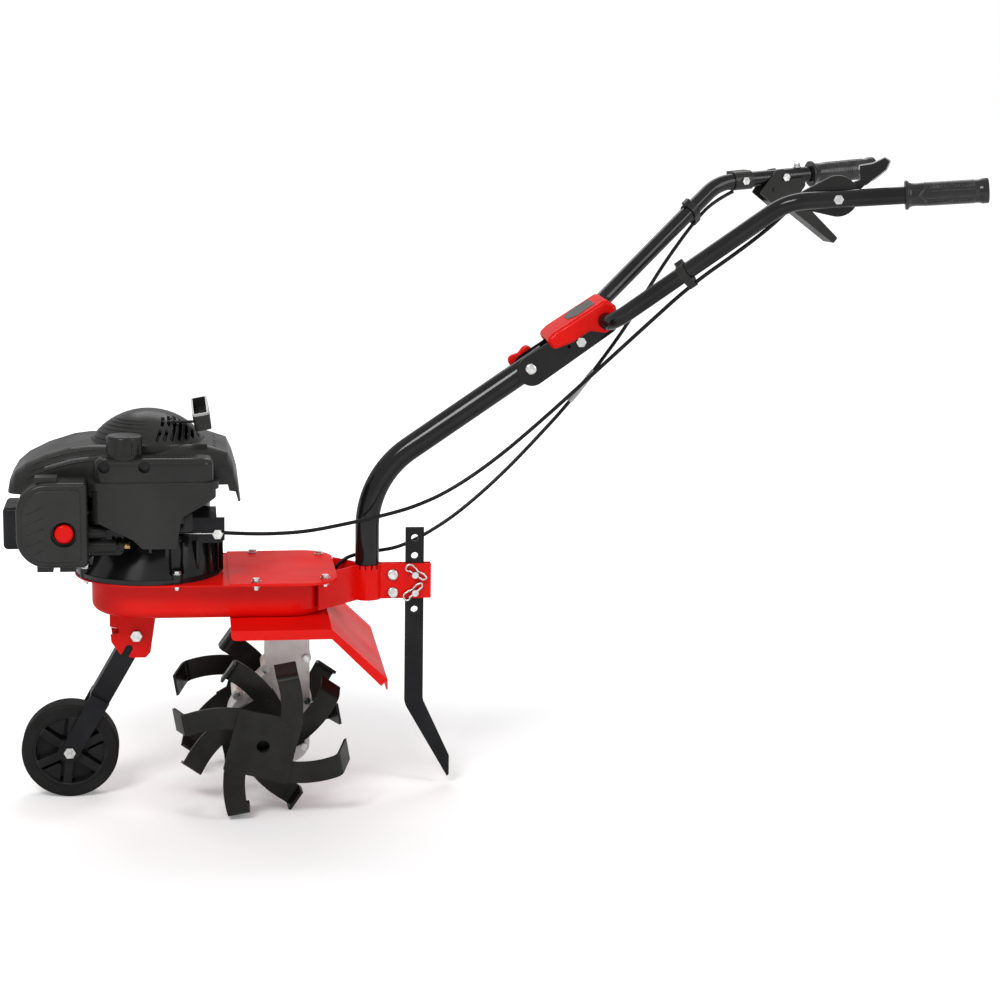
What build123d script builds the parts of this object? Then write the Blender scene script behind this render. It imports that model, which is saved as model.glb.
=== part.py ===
from build123d import *
import math
import os

# Garden tiller. Millimetres, +Z up, the machine drives towards -X and its left side is -Y.
# Every place is measured from the tine axis; the last step moves the model so that its box is centred.

# Clearances
run_gap = 0.05        # radial gap of a shaft in its bush
hole_gap = 0.25       # radial gap of a bolt in its hole
seat_gap = 0.3        # gap between pieces that rest on each other or pass close by
sheet = 2.0           # pressed steel of deck, cover and guard

# Places of the main axes
tine_axis_z = 110.0
crank_x = -158.0
worm_x = 40.0
column_x = 158.0
wheel_x = -276.0
arm_pivot_x = -178.0
arm_pivot_z = 242.0
pivot_x = 393.0       # handlebar hinge bolt
pivot_z = 630.0
column_angle = 34.5   # rise of the upper column in degrees
head_reach = 128.0    # hinge bolt to the handlebar's cross tube

# Belt housing and its cover
deck_floor = 280.0
deck_top = 335.0
pan_front_r = 83.0
pan_half = 84.0
pan_rear = 95.0
pan_corner = 55.0
pan_round = 12.0
rim_front_r = 107.0
rim_half = 111.0
rim_rear = 110.0
rim_corner = 46.0
hatch_front = -30.0
hatch_rear = 78.0
hatch_half = 60.0
hatch_corner = 18.0
cover_front = -45.0
cover_bolts = [(-7.0, 97.0), (92.0, 80.0)]
bolt_r = 3.0
bolt_af = 10.0
bolt_head = 5.0
bolt_flange_r = 7.0
bolt_flange = 1.5

# Tine guard
guard_front = -44.0
guard_rear = 97.0
guard_half = 156.0
guard_skirt = 12.0
flap_foot_x = 175.0
flap_foot_z = 205.0
flap_lip = 14.0
flap_flange = 12.0

# Wheel, its fork and bracket
wheel_r = 70.0
wheel_w = 42.0
rim_r = 54.0
wheel_hub_r = 15.0
wheel_web = 6.0
spoke_count = 6
spoke_w = 9.0
axle_r = 5.0
arm_w = 30.0
arm_depth = 36.0
arm_wall = 2.5
arm_length = 112.0
fork_leg = 4.0
fork_gap = 1.5
fork_end_r = 13.0
bracket_front = -216.0
bracket_rear = -149.0
bracket_foot = 209.0
bracket_plate = 3.0
notch_r = 5.5

# Handle column, its clamp and the drag bar
column_r = 17.5
column_wall = 2.5
column_bend = 140.0
column_foot = 290.0
column_end = 30.0     # tube past the hinge bolt
clamp_foot = 288.0
clamp_top = clamp_foot + 52.0
clamp_plate = 3.0
clamp_rear = 252.0
clamp_arm_x = 82.0
clamp_arm_y = 74.0
clamp_bolt_x = 195.0
bar_hole_pitch = 27.0
clamp_bolt_z = (clamp_foot + 9.0, clamp_foot + 9.0 + bar_hole_pitch)
bar_x = 228.0
bar_w = 27.0
bar_t = 8.0
bar_bend_z = 132.0
bar_tip_z = 12.0
bar_rake = 24.6
bar_hole_r = 5.25
bar_hole_low = clamp_bolt_z[0] - bar_hole_pitch
bar_top = bar_hole_low + 123.0
bar_hole_count = 5
pin_r = 4.9
clip_wire = 1.5

# Engine
sump_base_r = 105.0
sump_flange = 7.0
sump_top = 400.0
sump_top_r = 80.0
case_x = -140.0
engine_bolt_r = 98.5
engine_bolt_angles = (66.5, 155.0, 205.0, 293.5)
boss_r = 9.0
boss_top = 348.0
block_r = 70.0
block_top = 500.0
cylinder_front = -326.0
cylinder_half = 48.0
cylinder_low = 432.0
cylinder_high = 498.0
fin_count = 7
fin_gap = 6.0
shaft_r = 11.0
flywheel_r = 70.0
flywheel_low = 505.0
flywheel_high = 516.0
fan_high = 530.0
fan_blades = 16
shroud_half = 84.0
shroud_top = 530.0
shroud_wall = 3.0
shroud_round = 26.0
shroud_hem = 462.0    # lower edge of the shroud, stepped at its rear
shroud_step = 475.0
shroud_tail = 446.0
vent_x = -64.0
vent_r = 2.5
vent_rows = (14.0, 34.0, 56.0)
dome_r = 80.0
dome_top = shroud_top + 42.0
dome_floor = shroud_top - 13.0   # seat of the dome in the shroud
dome_skirt = 13.0
dome_wall = 3.0
dome_ledge = 6.0
spool_r = 32.5
louvre_count = 7
louvre_w = 4.6
louvre_pitch = 8.3
louvre_first = 88.0
louvre_centre = (-66.0, -36.0)   # from the crank axis
louvre_in = 40.0
louvre_out = 74.0
louvre_bridge = (57.0, 62.0)
swoosh_rows = (76.0, 68.0, 60.0, 52.0, 44.0)
swoosh_r = 1.3
rope_y = -35.0
rope_z = dome_top - 14.0
rope_r = 2.0
rope_stub = 82.0
guide_x = -94.0
grip_w = 23.0
grip_l = 84.0
grip_low = dome_top - 17.5
grip_high = dome_top + 5.0
tank_front = -238.0
tank_rear = -59.0
tank_near = -142.0
tank_inner = -86.0
tank_low = 396.0
tank_seam = 484.0
tank_top = tank_seam + 38.0
tank_flange = 5.0
tank_pocket_r = 8.5
cap_x = -189.0
cap_y = -112.0
cap_r = 25.0
cap_low = tank_top + 5.0
cap_high = cap_low + 25.0
neck_r = 20.0
cleaner_front = -337.0
cleaner_rear = -240.0
cleaner_low = 372.0
cleaner_top = 491.0
cleaner_near = -150.0
cleaner_split = -116.0
cleaner_back = -100.0
cleaner_round = 42.0
cleaner_wall = 2.5
cleaner_border = 9.0
cleaner_panel = 2.5
primer_x = -272.0
primer_z = 420.0
primer_r = 13.4
primer_wall = 2.0
primer_roof = 3.5
primer_travel = 6.0
primer_top = cleaner_near - 2.0
primer_foot = cleaner_near + 14
primer_dish_r = 18.2
primer_dish = 7.0
carb_y = -112.0
carb_x = -214.0
carb_z = 403.0
inlet_y = -70.0
muffler_front = -366.0
muffler_rear = -296.0
muffler_near = 2.0
muffler_far = 86.0
muffler_low = 366.0
muffler_high = 428.0
control_front = -96.0
control_rear = -51.0
control_near = -104.0
control_plate = 4.0
control_foot = 396.0
control_top = 432.0
control_bolt = (-61.0, 409.0)
control_bolt_af = 13.0

# Drive inside the belt housing and the gear case
belt_low = 302.0
belt_w = 8.0
belt_t = 8.0
belt_gap = 0.4
pulley_wall = 3.0
engine_pulley_r = 27.0
driven_pulley_r = 52.0
idler_x = -60.0
idler_r = 13.0
idler_gap = 1.0
idler_pin_r = 4.0
idler_pivot_x = -104.0
idler_pivot_y = 62.0
idler_plate = 3.0
case_half = 30.0
case_boss = 40.0
case_drum_r = 48.0
case_column = 64.0
case_flange = 8.0
lug_r = 7.5
lug_places = [(67.0, 206.0), (9.0, 190.0), (68.0, 142.0), (-34.0, 152.0), (64.0, 72.0), (-24.0, 70.0)]
worm_r = 12.9
worm_shaft_r = 8.0
gear_r = 26.8
gear_root = 22.5
gear_teeth = 18
gear_w = 20.0
tine_shaft_r = 8.9
tine_shaft_half = 128.0
bush_r = 14.0

# Tines
hub_r = 15.0
hub_bore_r = 9.0
socket_r = 9.25
socket_depth = 24.0
outer_star_y = 150.0
inner_star_y = 76.0
blade_t = 4.0
blade_w = 31.0
hub_end = outer_star_y + blade_t / 2
star_half = 46.0
arm_curve = 150.0
arm_sweep = 48.0
arm_root = 26.0
bend_r = 10.0
bend_heading = 25.0
front_bend = (83.4, 87.0)    # start of the bend from the axis and its angle, front plate of a star
back_bend = (94.0, 75.0)     # the same for the plate behind it
outer_tail = 50.0            # straight blade past the bend
inner_tail = 22.0
rivet_r = 7.0
rivet_h = 0.8
outer_phase = 75.0
inner_phase = 120.0

# Handlebar, head and controls
bar_r = 12.0
bar_wall = 2.0
cross_half = 82.0
knee = (715.0, 215.0, 886.0)
grip_end = (974.0, 275.0, 907.0)
cross_bend = 48.0
knee_bend = 80.0
hand_grip_r = 16.5
hand_grip_l = 112.0
hand_flange_r = 20.0
grip_cap = 4.0         # closed end of a grip past its tube
grip_bead = 0.8
head_plate = 3.0
head_plate_r = 22.0
head_plate_drop = 4.0
head_bolt_reach = 82.0
head_cover_half = 45.0
head_cover_wall = 3.0
head_cover_corner = 8.0
head_cover_round = 7.0
hinge_bolt_r = 5.0
hinge_head_r = 8.5
knob_r = 23.0
knob_t = 17.0
lever_reach = 109.0   # knee to the clutch lever's pivot along the tube
lever_bolt_r = 4.0
lever_plate = 2.5
throttle_reach = 69.0
throttle_r = 28.0
throttle_t = 17.0
stop_reach = 40.0
clip_share = (0.43, 0.775)  # near and far clip, shares of the way from cross tube to knee
clip_wall = 2.5
clip_w = 12.0
clip_tab = 7.0
cable_r = 3.0

column_dir = Vector(math.cos(math.radians(column_angle)), 0, math.sin(math.radians(column_angle)))
column_up = Vector(-column_dir.Z, 0, column_dir.X)
hinge = Vector(pivot_x, 0, pivot_z)
cross = hinge + column_dir * head_reach
handle_dir = (Vector(*grip_end) - Vector(*knee)).normalized()
grip_out = (hand_grip_r + grip_bead) * math.sqrt(1 - handle_dir.X ** 2)
grip_tip_x = grip_end[0] + grip_cap * handle_dir.X + grip_out
row_x = -(muffler_front + grip_tip_x) / 2


# Simple solids between stated limits
def brick(x_low, x_high, y_low, y_high, z_low, z_high):
    centre = Pos((x_low + x_high) / 2, (y_low + y_high) / 2, (z_low + z_high) / 2)
    return centre * Box(x_high - x_low, y_high - y_low, z_high - z_low)


def rod_x(x_low, x_high, y, z, r):
    return Pos((x_low + x_high) / 2, y, z) * Rot(0, 90, 0) * Cylinder(r, x_high - x_low)


def rod_y(x, y_low, y_high, z, r):
    return Pos(x, (y_low + y_high) / 2, z) * Rot(90, 0, 0) * Cylinder(r, y_high - y_low)


def rod_z(x, y, z_low, z_high, r):
    return Pos(x, y, (z_low + z_high) / 2) * Cylinder(r, z_high - z_low)


# A face drawn in X and Z, given thickness along Y
def side_plate(face, y_low, y_high):
    plane = Plane((0, y_high, 0), x_dir=(1, 0, 0), z_dir=(0, -1, 0))
    return extrude(plane * face, y_high - y_low)


# A face drawn in X and Y, given thickness along Z
def flat_plate(face, z_low, z_high):
    return extrude(Pos(0, 0, z_low) * face, z_high - z_low)


def hull_of(*faces):
    edges = ShapeList()
    for face in faces:
        edges += face.edges()
    return make_hull(edges)


def disc(x, y, r):
    return Pos(x, y) * Circle(r)


def polygon(*points):
    return make_face(Polyline(*points, close=True))


def tube(route, r):
    start = Plane(origin=route @ 0, z_dir=route % 0)
    return sweep(start * Circle(r), path=route)


# Head above Z = 0, shank below it
def hex_bolt(r, length, across, head):
    hexagon = RegularPolygon(across / 2, 6, major_radius=False)
    return extrude(hexagon, head) + rod_z(0, 0, -length, 0, r)


def flange_bolt(length):
    skirt = extrude(Circle(bolt_flange_r), bolt_flange)
    return skirt + hex_bolt(bolt_r, length, bolt_af, bolt_head)


def round_bolt(r, length, head_r, head):
    dome = extrude(Circle(head_r), head)
    dome = fillet(dome.edges().group_by(Axis.Z)[-1], head * 0.6)
    return dome + rod_z(0, 0, -length, 0, r)


def hex_nut(r, across, height):
    hexagon = RegularPolygon(across / 2, 6, major_radius=False)
    return extrude(hexagon - Circle(r + run_gap), -height)


# Turned so that the head of a bolt looks towards -Y
def facing_left(x, y, z):
    return Pos(x, y, z) * Rot(90, 0, 0)


def both_sides(points):
    return [(x, side * y) for x, y in points for side in (-1, 1)]


def deck_outline(front_r, half, rear, corner):
    front = disc(crank_x, 0, front_r)
    left = disc(rear - corner, corner - half, corner)
    right = disc(rear - corner, half - corner, corner)
    return hull_of(front, left, right)


def engine_bolt_places():
    turns = [math.radians(a) for a in engine_bolt_angles]
    return [(crank_x + engine_bolt_r * math.cos(t), engine_bolt_r * math.sin(t)) for t in turns]


def gear_bolt_places():
    return both_sides([(worm_x - 35, case_half - 4), (worm_x + 35, case_half - 4)])


# Deck: pressed pan that holds the belt, closed by the engine in front and a cover plate behind
def belt_housing():
    pan = deck_outline(pan_front_r, pan_half, pan_rear, pan_corner)
    walls = flat_plate(pan, deck_floor, deck_top - sheet)
    walls = fillet(walls.edges().group_by(Axis.Z)[0], pan_round)
    rim = flat_plate(deck_outline(rim_front_r, rim_half, rim_rear, rim_corner), deck_top - sheet, deck_top)
    inner = deck_outline(pan_front_r - sheet, pan_half - sheet, pan_rear - sheet, pan_corner - sheet)
    room = flat_plate(inner, deck_floor + sheet, deck_top - sheet)
    room = fillet(room.edges().group_by(Axis.Z)[0], pan_round - sheet)
    middle = (hatch_front + hatch_rear) / 2
    opening = Pos(middle, 0) * RectangleRounded(hatch_rear - hatch_front, 2 * hatch_half, hatch_corner)
    body = walls + rim - room - flat_plate(opening, deck_top - 2 * sheet, deck_top + sheet)
    body -= rod_z(crank_x, 0, deck_top - 2 * sheet, deck_top + sheet, engine_pulley_r + 4)
    body -= rod_z(worm_x, 0, deck_floor - sheet, deck_floor + 2 * sheet, worm_shaft_r + 5)
    for x, y in both_sides(cover_bolts) + engine_bolt_places():
        body -= rod_z(x, y, deck_top - 2 * sheet, deck_top + sheet, bolt_r + hole_gap)
    for x, y in gear_bolt_places():
        body -= rod_z(x, y, deck_floor - sheet, deck_floor + 2 * sheet, bolt_r + hole_gap)
    body -= rod_z(idler_pivot_x, idler_pivot_y, deck_floor - sheet, deck_floor + 2 * sheet, bolt_r + hole_gap)
    mouth = Vector(*clutch_route[1])
    inside = mouth + (Vector(*clutch_route[0]) - mouth) * 1.5
    return body - tube(Line(inside, mouth), cable_r + hole_gap)


def belt_cover():
    outline = deck_outline(rim_front_r, rim_half, rim_rear, rim_corner)
    front = Pos((cover_front + rim_rear) / 2, 0) * Rectangle(rim_rear - cover_front, 2 * rim_half)
    plate = flat_plate(outline & front, deck_top, deck_top + sheet)
    for x, y in both_sides(cover_bolts):
        plate -= rod_z(x, y, deck_top - sheet, deck_top + 2 * sheet, bolt_r + hole_gap)
    return plate


# Guard over the tines: top plate, side skirts and a raked flap with a lip
def tine_guard():
    top = deck_floor - sheet
    flap = Line((guard_front, top + sheet / 2), (guard_rear, top + sheet / 2))
    foot = (flap_foot_x, flap_foot_z)
    flap += Line((guard_rear, top + sheet / 2), foot)
    flap += Line(foot, (flap_foot_x, flap_foot_z - flap_lip))
    body = side_plate(trace(flap, sheet), -guard_half, guard_half)
    skirt = Pos((guard_front + guard_rear) / 2, top - guard_skirt / 2 + sheet / 2)
    skirt_face = skirt * Rectangle(guard_rear - guard_front, guard_skirt + sheet)
    front_low = skirt_face.vertices().sort_by(Axis.X)[:2].sort_by(Axis.Y)[0]
    skirt_face = fillet(front_low, guard_skirt * 0.6)
    run = Vector(flap_foot_x - guard_rear, flap_foot_z - top)
    under = Vector(run.Y, -run.X).normalized() * flap_flange
    edge = polygon(
        (guard_rear, top), foot, (foot[0] + under.X, foot[1] + under.Y), (guard_rear, top - guard_skirt))
    for side in (-1, 1):
        low, high = sorted((side * guard_half, side * (guard_half - sheet)))
        body += side_plate(skirt_face, low, high)
        body += side_plate(edge, low, high)
    body -= rod_z(worm_x, 0, top - sheet, deck_floor + sheet, worm_shaft_r + 5)
    for x, y in gear_bolt_places():
        body -= rod_z(x, y, top - sheet, deck_floor + sheet, bolt_r + hole_gap)
    return body


# Bracket under the deck with the notches that hold the wheel arm up or down
def wheel_bracket():
    half = arm_depth / 2 + seat_gap + bracket_plate
    plate_top = deck_floor - bracket_plate
    cheek = polygon(
        (bracket_front, plate_top), (bracket_rear, plate_top),
        (bracket_rear - 9, bracket_foot + 8), (bracket_rear - 16, bracket_foot),
        (arm_pivot_x - 6, bracket_foot), (arm_pivot_x - 24, bracket_foot + 6),
        (bracket_front + 2, bracket_foot + 24), (bracket_front, bracket_foot + 42))
    down = Vector(wheel_x - arm_pivot_x, wheel_r - arm_pivot_z).normalized()
    up = Vector(-1, 0.22).normalized()
    for way, reach in ((down, 22), (up, 31)):
        start = Pos(arm_pivot_x + way.X * reach, arm_pivot_z + way.Y * reach)
        turn = Rot(0, 0, math.degrees(math.atan2(way.Y, way.X)))
        cheek -= start * turn * Pos(15, 0) * SlotOverall(30 + 2 * notch_r, 2 * notch_r)
    cheek -= disc(arm_pivot_x, arm_pivot_z, axle_r + hole_gap)
    body = brick(bracket_front, bracket_rear, -half, half, plate_top, deck_floor)
    for side in (-1, 1):
        low, high = sorted((side * half, side * (half - bracket_plate)))
        body += side_plate(cheek, low, high)
    return body


def arm_frame():
    fall = Vector(wheel_x - arm_pivot_x, 0, wheel_r - arm_pivot_z)
    return Plane(origin=(arm_pivot_x, 0, arm_pivot_z), x_dir=fall.normalized(), z_dir=(0, -1, 0)), fall.length


# Box arm with two flat fork legs that straddle the wheel
def wheel_arm():
    plane, reach = arm_frame()
    half = arm_depth / 2
    leg_in = wheel_w / 2 + fork_gap
    bridge = arm_length - fork_leg
    box = Pos(arm_length / 2 - 8, 0, 0) * Box(arm_length + 16, arm_w, arm_depth)
    hollow = Box(arm_length + 16, arm_w - 2 * arm_wall, arm_depth - 2 * arm_wall)
    body = box - Pos(arm_length / 2 - 12, 0, 0) * hollow
    body += Pos(arm_length - fork_leg / 2, 0, 0) * Box(fork_leg, arm_w, 2 * leg_in + 2 * fork_leg)
    leg = hull_of(Pos(bridge + 1, 0) * Rectangle(2, arm_w), disc(reach, 0, fork_end_r))
    leg -= disc(reach, 0, axle_r + run_gap)
    body += extrude(Pos(0, 0, leg_in) * leg, fork_leg)
    body += extrude(Pos(0, 0, -leg_in - fork_leg) * leg, fork_leg)
    body -= Cylinder(axle_r + run_gap, 4 * half)
    return plane.location * body


def axle_bolt():
    out = wheel_w / 2 + fork_gap + fork_leg
    bolt = facing_left(wheel_x, -out, wheel_r) * hex_bolt(axle_r, 2 * out + 10, 15.0, 6.0)
    far = Pos(wheel_x, out, wheel_r) * Rot(-90, 0, 0)
    return bolt, far * Pos(0, 0, 7) * hex_nut(axle_r, 15.0, 7.0)


# Moulded wheel: hub, thin web with six spokes on both faces and a rim
def wheel_rim():
    place = facing_left(wheel_x, 0, wheel_r)
    ring = Cylinder(rim_r, wheel_w - 4) - Cylinder(rim_r - 5, wheel_w)
    body = ring + Cylinder(rim_r - 2, wheel_web) + Cylinder(wheel_hub_r, wheel_w)
    for i in range(spoke_count):
        spoke = Pos(rim_r / 2, 0, 0) * Box(rim_r - 3, spoke_w, wheel_w - 14)
        body += Rot(0, 0, 5 + i * 360 / spoke_count) * spoke
    return place * (body - Cylinder(axle_r + run_gap, 2 * wheel_w))


def tyre():
    place = facing_left(wheel_x, 0, wheel_r)
    ring = Cylinder(wheel_r, wheel_w)
    ring = fillet(ring.edges().filter_by(GeomType.CIRCLE), 6)
    return place * (ring - Cylinder(rim_r, 2 * wheel_w))


# Column: one bent tube from the clamp up to the hinge
def column_route(extra=0.0):
    rise = pivot_x - column_x
    corner = Vector(column_x, 0, pivot_z - rise * math.tan(math.radians(column_angle)))
    top = hinge + column_dir * (column_end + extra)
    return FilletPolyline((column_x, 0, column_foot - extra), corner, top, radius=column_bend)


def handle_column():
    body = tube(column_route(), column_r) - tube(column_route(1), column_r - column_wall)
    return body - rod_y(pivot_x, -2 * column_r, 2 * column_r, pivot_z, hinge_bolt_r + hole_gap)


# Two formed plates: splayed arms on the deck, half rounds on the column, flats on the drag bar
def column_clamp():
    r_in = column_r + seat_gap
    flat_in = bar_t / 2 + run_gap
    ring = disc(column_x, 0, r_in + clamp_plate) - disc(column_x, 0, r_in)
    near_half = Pos(column_x, -r_in - flat_in) * Rectangle(4 * r_in, 2 * r_in)
    strip = Pos((column_x + clamp_rear) / 2, -flat_in - clamp_plate / 2)
    flats = strip * Rectangle(clamp_rear - column_x, clamp_plate) - disc(column_x, 0, r_in)
    arm_end = Vector(column_x - r_in * 0.86, -r_in * 0.62)
    arm = trace(Line((clamp_arm_x, -clamp_arm_y), arm_end), clamp_plate)
    plan = (ring & near_half) + flats + (arm - disc(column_x, 0, r_in))
    near = flat_plate(plan, clamp_foot, clamp_top)
    near -= flat_plate(deck_outline(pan_front_r, pan_half, pan_rear, pan_corner), deck_floor, deck_top)
    rim = deck_outline(rim_front_r, rim_half, rim_rear, rim_corner)
    near -= flat_plate(rim, deck_top - sheet, clamp_top + 1)
    notch = 3.2
    for turn in (-125, -100, -75, -50):
        x = column_x + r_in * math.cos(math.radians(turn))
        y = r_in * math.sin(math.radians(turn))
        near -= rod_z(x, y, clamp_top - 6, clamp_top + 1, notch)
    for z in clamp_bolt_z:
        near -= rod_y(clamp_bolt_x, -30, 30, z, axle_r + hole_gap)
        near -= rod_y(bar_x, -30, 30, z, bar_hole_r)
    return near, mirror(near, about=Plane.XZ)


# Flat bar that rakes rearward to a point, with five height holes
def drag_bar():
    half = bar_w / 2
    lean = math.tan(math.radians(bar_rake))
    drop = bar_bend_z - bar_tip_z
    outline = polygon(
        (bar_x - half, bar_top), (bar_x + half, bar_top), (bar_x + half, bar_bend_z),
        (bar_x + half + lean * (drop - 32), bar_tip_z + 32),
        (bar_x + half + lean * (drop - 32), bar_tip_z + 3),
        (bar_x + lean * drop - 4, bar_tip_z), (bar_x - half, bar_bend_z - half * lean))
    body = side_plate(outline, -bar_t / 2, bar_t / 2)
    bends = body.edges().filter_by(Axis.Y).sort_by(Axis.Z)[-4:-2]
    body = fillet(bends, bar_w)
    for i in range(bar_hole_count):
        body -= rod_y(bar_x, -bar_t, bar_t, bar_hole_low + i * bar_hole_pitch, bar_hole_r)
    return body


# Two cross pins with a wire clip each
def drag_bar_pins():
    out = bar_t / 2 + run_gap + clamp_plate
    solids = []
    for z, turn in zip(clamp_bolt_z, (40, -35)):
        pin = rod_y(bar_x, -out - 9, out, z, pin_r) + rod_y(bar_x, out, out + 4, z, pin_r + 3)
        place = facing_left(bar_x, -out - 5, z) * Rot(0, 0, turn)
        solids.append(pin - place * Rot(0, 90, 0) * Cylinder(clip_wire + 0.1, 20))
        route = FilletPolyline(
            (-11, 0, 0), (13, 0, 0), (18, 5.5, 0), (9, 8.2, 0), (0, 6.6, 0), (-6, 8.6, 0), radius=2.2)
        solids.append(place * tube(route, clip_wire))
    return solids


# Gear case halves, split on the middle plane
def case_outline():
    top = Pos(worm_x, deck_floor - sheet - 1) * Rectangle(case_column, 2)
    heel = disc(worm_x, tine_axis_z - 30, case_column / 2)
    shell = hull_of(top, disc(worm_x, tine_axis_z + 60, case_column / 2))
    shell += hull_of(disc(0, tine_axis_z, case_drum_r), heel, disc(worm_x, tine_axis_z + 60, case_column / 2))
    for x, z in lug_places:
        shell += disc(x, z, lug_r)
    return shell


def case_hollow():
    hollow = rod_y(0, -gear_w, gear_w, tine_axis_z, gear_r + 6)
    hollow += rod_z(worm_x, 0, tine_axis_z - 46, tine_axis_z + 150, worm_r + 5)
    hollow += rod_y(0, -2 * case_boss, 2 * case_boss, tine_axis_z, bush_r)
    hollow += rod_z(worm_x, 0, tine_axis_z, deck_top, worm_shaft_r + 5)
    return hollow


def gear_case(side):
    low, high = sorted((0, side * case_half))
    body = side_plate(case_outline(), low, high)
    low, high = sorted((0, side * case_boss))
    body += rod_y(0, low, high, tine_axis_z, bush_r + 9)
    top = deck_floor - sheet
    low, high = sorted((0, side * (case_half + 6)))
    body += brick(worm_x - 44, worm_x + 44, low, high, top - case_flange, top)
    body -= case_hollow()
    for x, z in lug_places:
        body -= rod_y(x, -2 * case_half, 2 * case_half, z, bolt_r + hole_gap)
    for x, y in gear_bolt_places():
        body -= rod_z(x, y, top - case_flange - 1, top + 1, bolt_r + hole_gap)
    return body


def shaft_bushes():
    solids = []
    for z in (tine_axis_z - 46, tine_axis_z + 130):
        ring = rod_z(worm_x, 0, z, z + 18, worm_r + 5)
        solids.append(ring - rod_z(worm_x, 0, z - 1, z + 19, worm_shaft_r + run_gap))
    for side in (-1, 1):
        low, high = sorted((side * (gear_w + 1), side * case_boss))
        ring = rod_y(0, low, high, tine_axis_z, bush_r)
        solids.append(ring - rod_y(0, low - 1, high + 1, tine_axis_z, tine_shaft_r + run_gap))
    return solids


def worm_shaft():
    body = rod_z(worm_x, 0, tine_axis_z - 45, belt_low + belt_w + 12, worm_shaft_r)
    return body + rod_z(worm_x, 0, tine_axis_z - 26, tine_axis_z + 26, worm_r)


def worm_wheel():
    face = Circle(gear_r)
    depth = gear_r - gear_root
    for i in range(gear_teeth):
        gap = Pos(gear_r - depth / 2 + 1, 0) * Trapezoid(5.4, depth + 2, 75, rotation=90)
        face -= Rot(0, 0, (i + 0.5) * 360 / gear_teeth) * gap
    face -= Circle(tine_shaft_r)
    return Pos(0, gear_w / 2, tine_axis_z) * Rot(90, 0, 0) * extrude(face, gear_w)


def tine_shaft():
    return rod_y(0, -tine_shaft_half, tine_shaft_half, tine_axis_z, tine_shaft_r)


def tine_hubs():
    solids = []
    for side in (-1, 1):
        low, high = sorted((side * (case_boss + 1), side * hub_end))
        body = rod_y(0, low, high, tine_axis_z, hub_r) - rod_y(0, low - 1, high + 1, tine_axis_z, hub_bore_r)
        low, high = sorted((side * (hub_end - socket_depth), side * (hub_end + 1)))
        solids.append(body - rod_y(0, low, high, tine_axis_z, socket_r))
    return solids


# One sickle arm: curved outline cut from a sheet whose end bends away
def tine_arm(way, bend, tail):
    start, angle = bend
    centre = Pos(star_half - blade_w / 2 - arm_curve, arm_root)
    sector = Circle(arm_curve + blade_w / 2) - Circle(arm_curve - blade_w / 2)
    reach = 3 * arm_curve
    far = (reach * math.cos(math.radians(arm_sweep)), reach * math.sin(math.radians(arm_sweep)))
    wedge = polygon((0, 0), (reach, 0), (reach, far[1]), far)
    outline = centre * (sector & wedge)
    outline += Pos(star_half - blade_w / 2, arm_root / 2) * Rectangle(blade_w, arm_root + 0.2)
    flat = Line((-2 * star_half, 0), (start, 0))
    curve = JernArc(start=(start, 0), tangent=(1, 0), radius=bend_r, arc_size=way * angle)
    end = Line(curve @ 1, curve @ 1 + (curve % 1) * tail)
    profile = trace(Curve() + [flat, curve, end], blade_t)
    bent = Plane((0, 0, 0), x_dir=(1, 0, 0), z_dir=(0, -1, 0)) * profile
    bent = Rot(0, 0, 90 + bend_heading) * extrude(bent, 2 * arm_curve, both=True)
    return extrude(outline, 2 * outer_tail, both=True) & bent


# Two crossed plates of two arms each, riveted at a square middle; local +Z looks outwards
def tine_star(front_way, back_way, tail):
    solids = []
    for turn, lift, way, bend in ((0, 0, front_way, front_bend), (90, -blade_t, back_way, back_bend)):
        plate = extrude(Pos(0, 0, -blade_t / 2) * Rectangle(2 * star_half, 2 * star_half), blade_t)
        arm = tine_arm(way, bend, tail)
        plate += arm
        plate += Rot(0, 0, 180) * arm
        solids.append(Pos(0, 0, lift) * Rot(0, 0, turn) * plate)
    body = solids[0] + solids[1]
    rivet = extrude(Pos(0, 0, blade_t / 2) * Circle(rivet_r), rivet_h, taper=30)
    for i in range(4):
        body += Rot(0, 0, 45 + 90 * i) * Pos(42, 0, 0) * rivet
    return body - Cylinder(hub_r, 20 * blade_t)


def place_star(star, phase, y):
    plane = Plane(origin=(0, y, tine_axis_z), x_dir=(1, 0, 0), z_dir=(0, -1, 0))
    return plane.location * Rot(0, 0, phase - 90) * star


# Engine: sump and crankcase, finned cylinder, covers, tank and air cleaner
def engine_sump():
    floor = deck_top
    body = rod_z(crank_x, 0, floor, floor + sump_flange, sump_base_r)
    low = Pos(crank_x, 0, floor + sump_flange) * Circle(sump_base_r - 3)
    high = Pos(case_x, 0, sump_top) * Circle(sump_top_r)
    body += loft([low, high])
    for i in range(7):
        rib = brick(sump_top_r - 6, sump_top_r + 9, -2, 2, floor + 2, sump_top - 8)
        body += Pos(case_x, 0, 0) * Rot(0, 0, -100 + i * 15) * rib
    for x, y in engine_bolt_places():
        body += rod_z(x, y, floor, boss_top, boss_r)
        body -= rod_z(x, y, boss_top, sump_top, boss_r + 2)
        body -= rod_z(x, y, floor - 1, boss_top + 1, bolt_r + hole_gap)
    return body - rod_z(crank_x, 0, floor - 1, sump_top + 1, shaft_r + run_gap)


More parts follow.
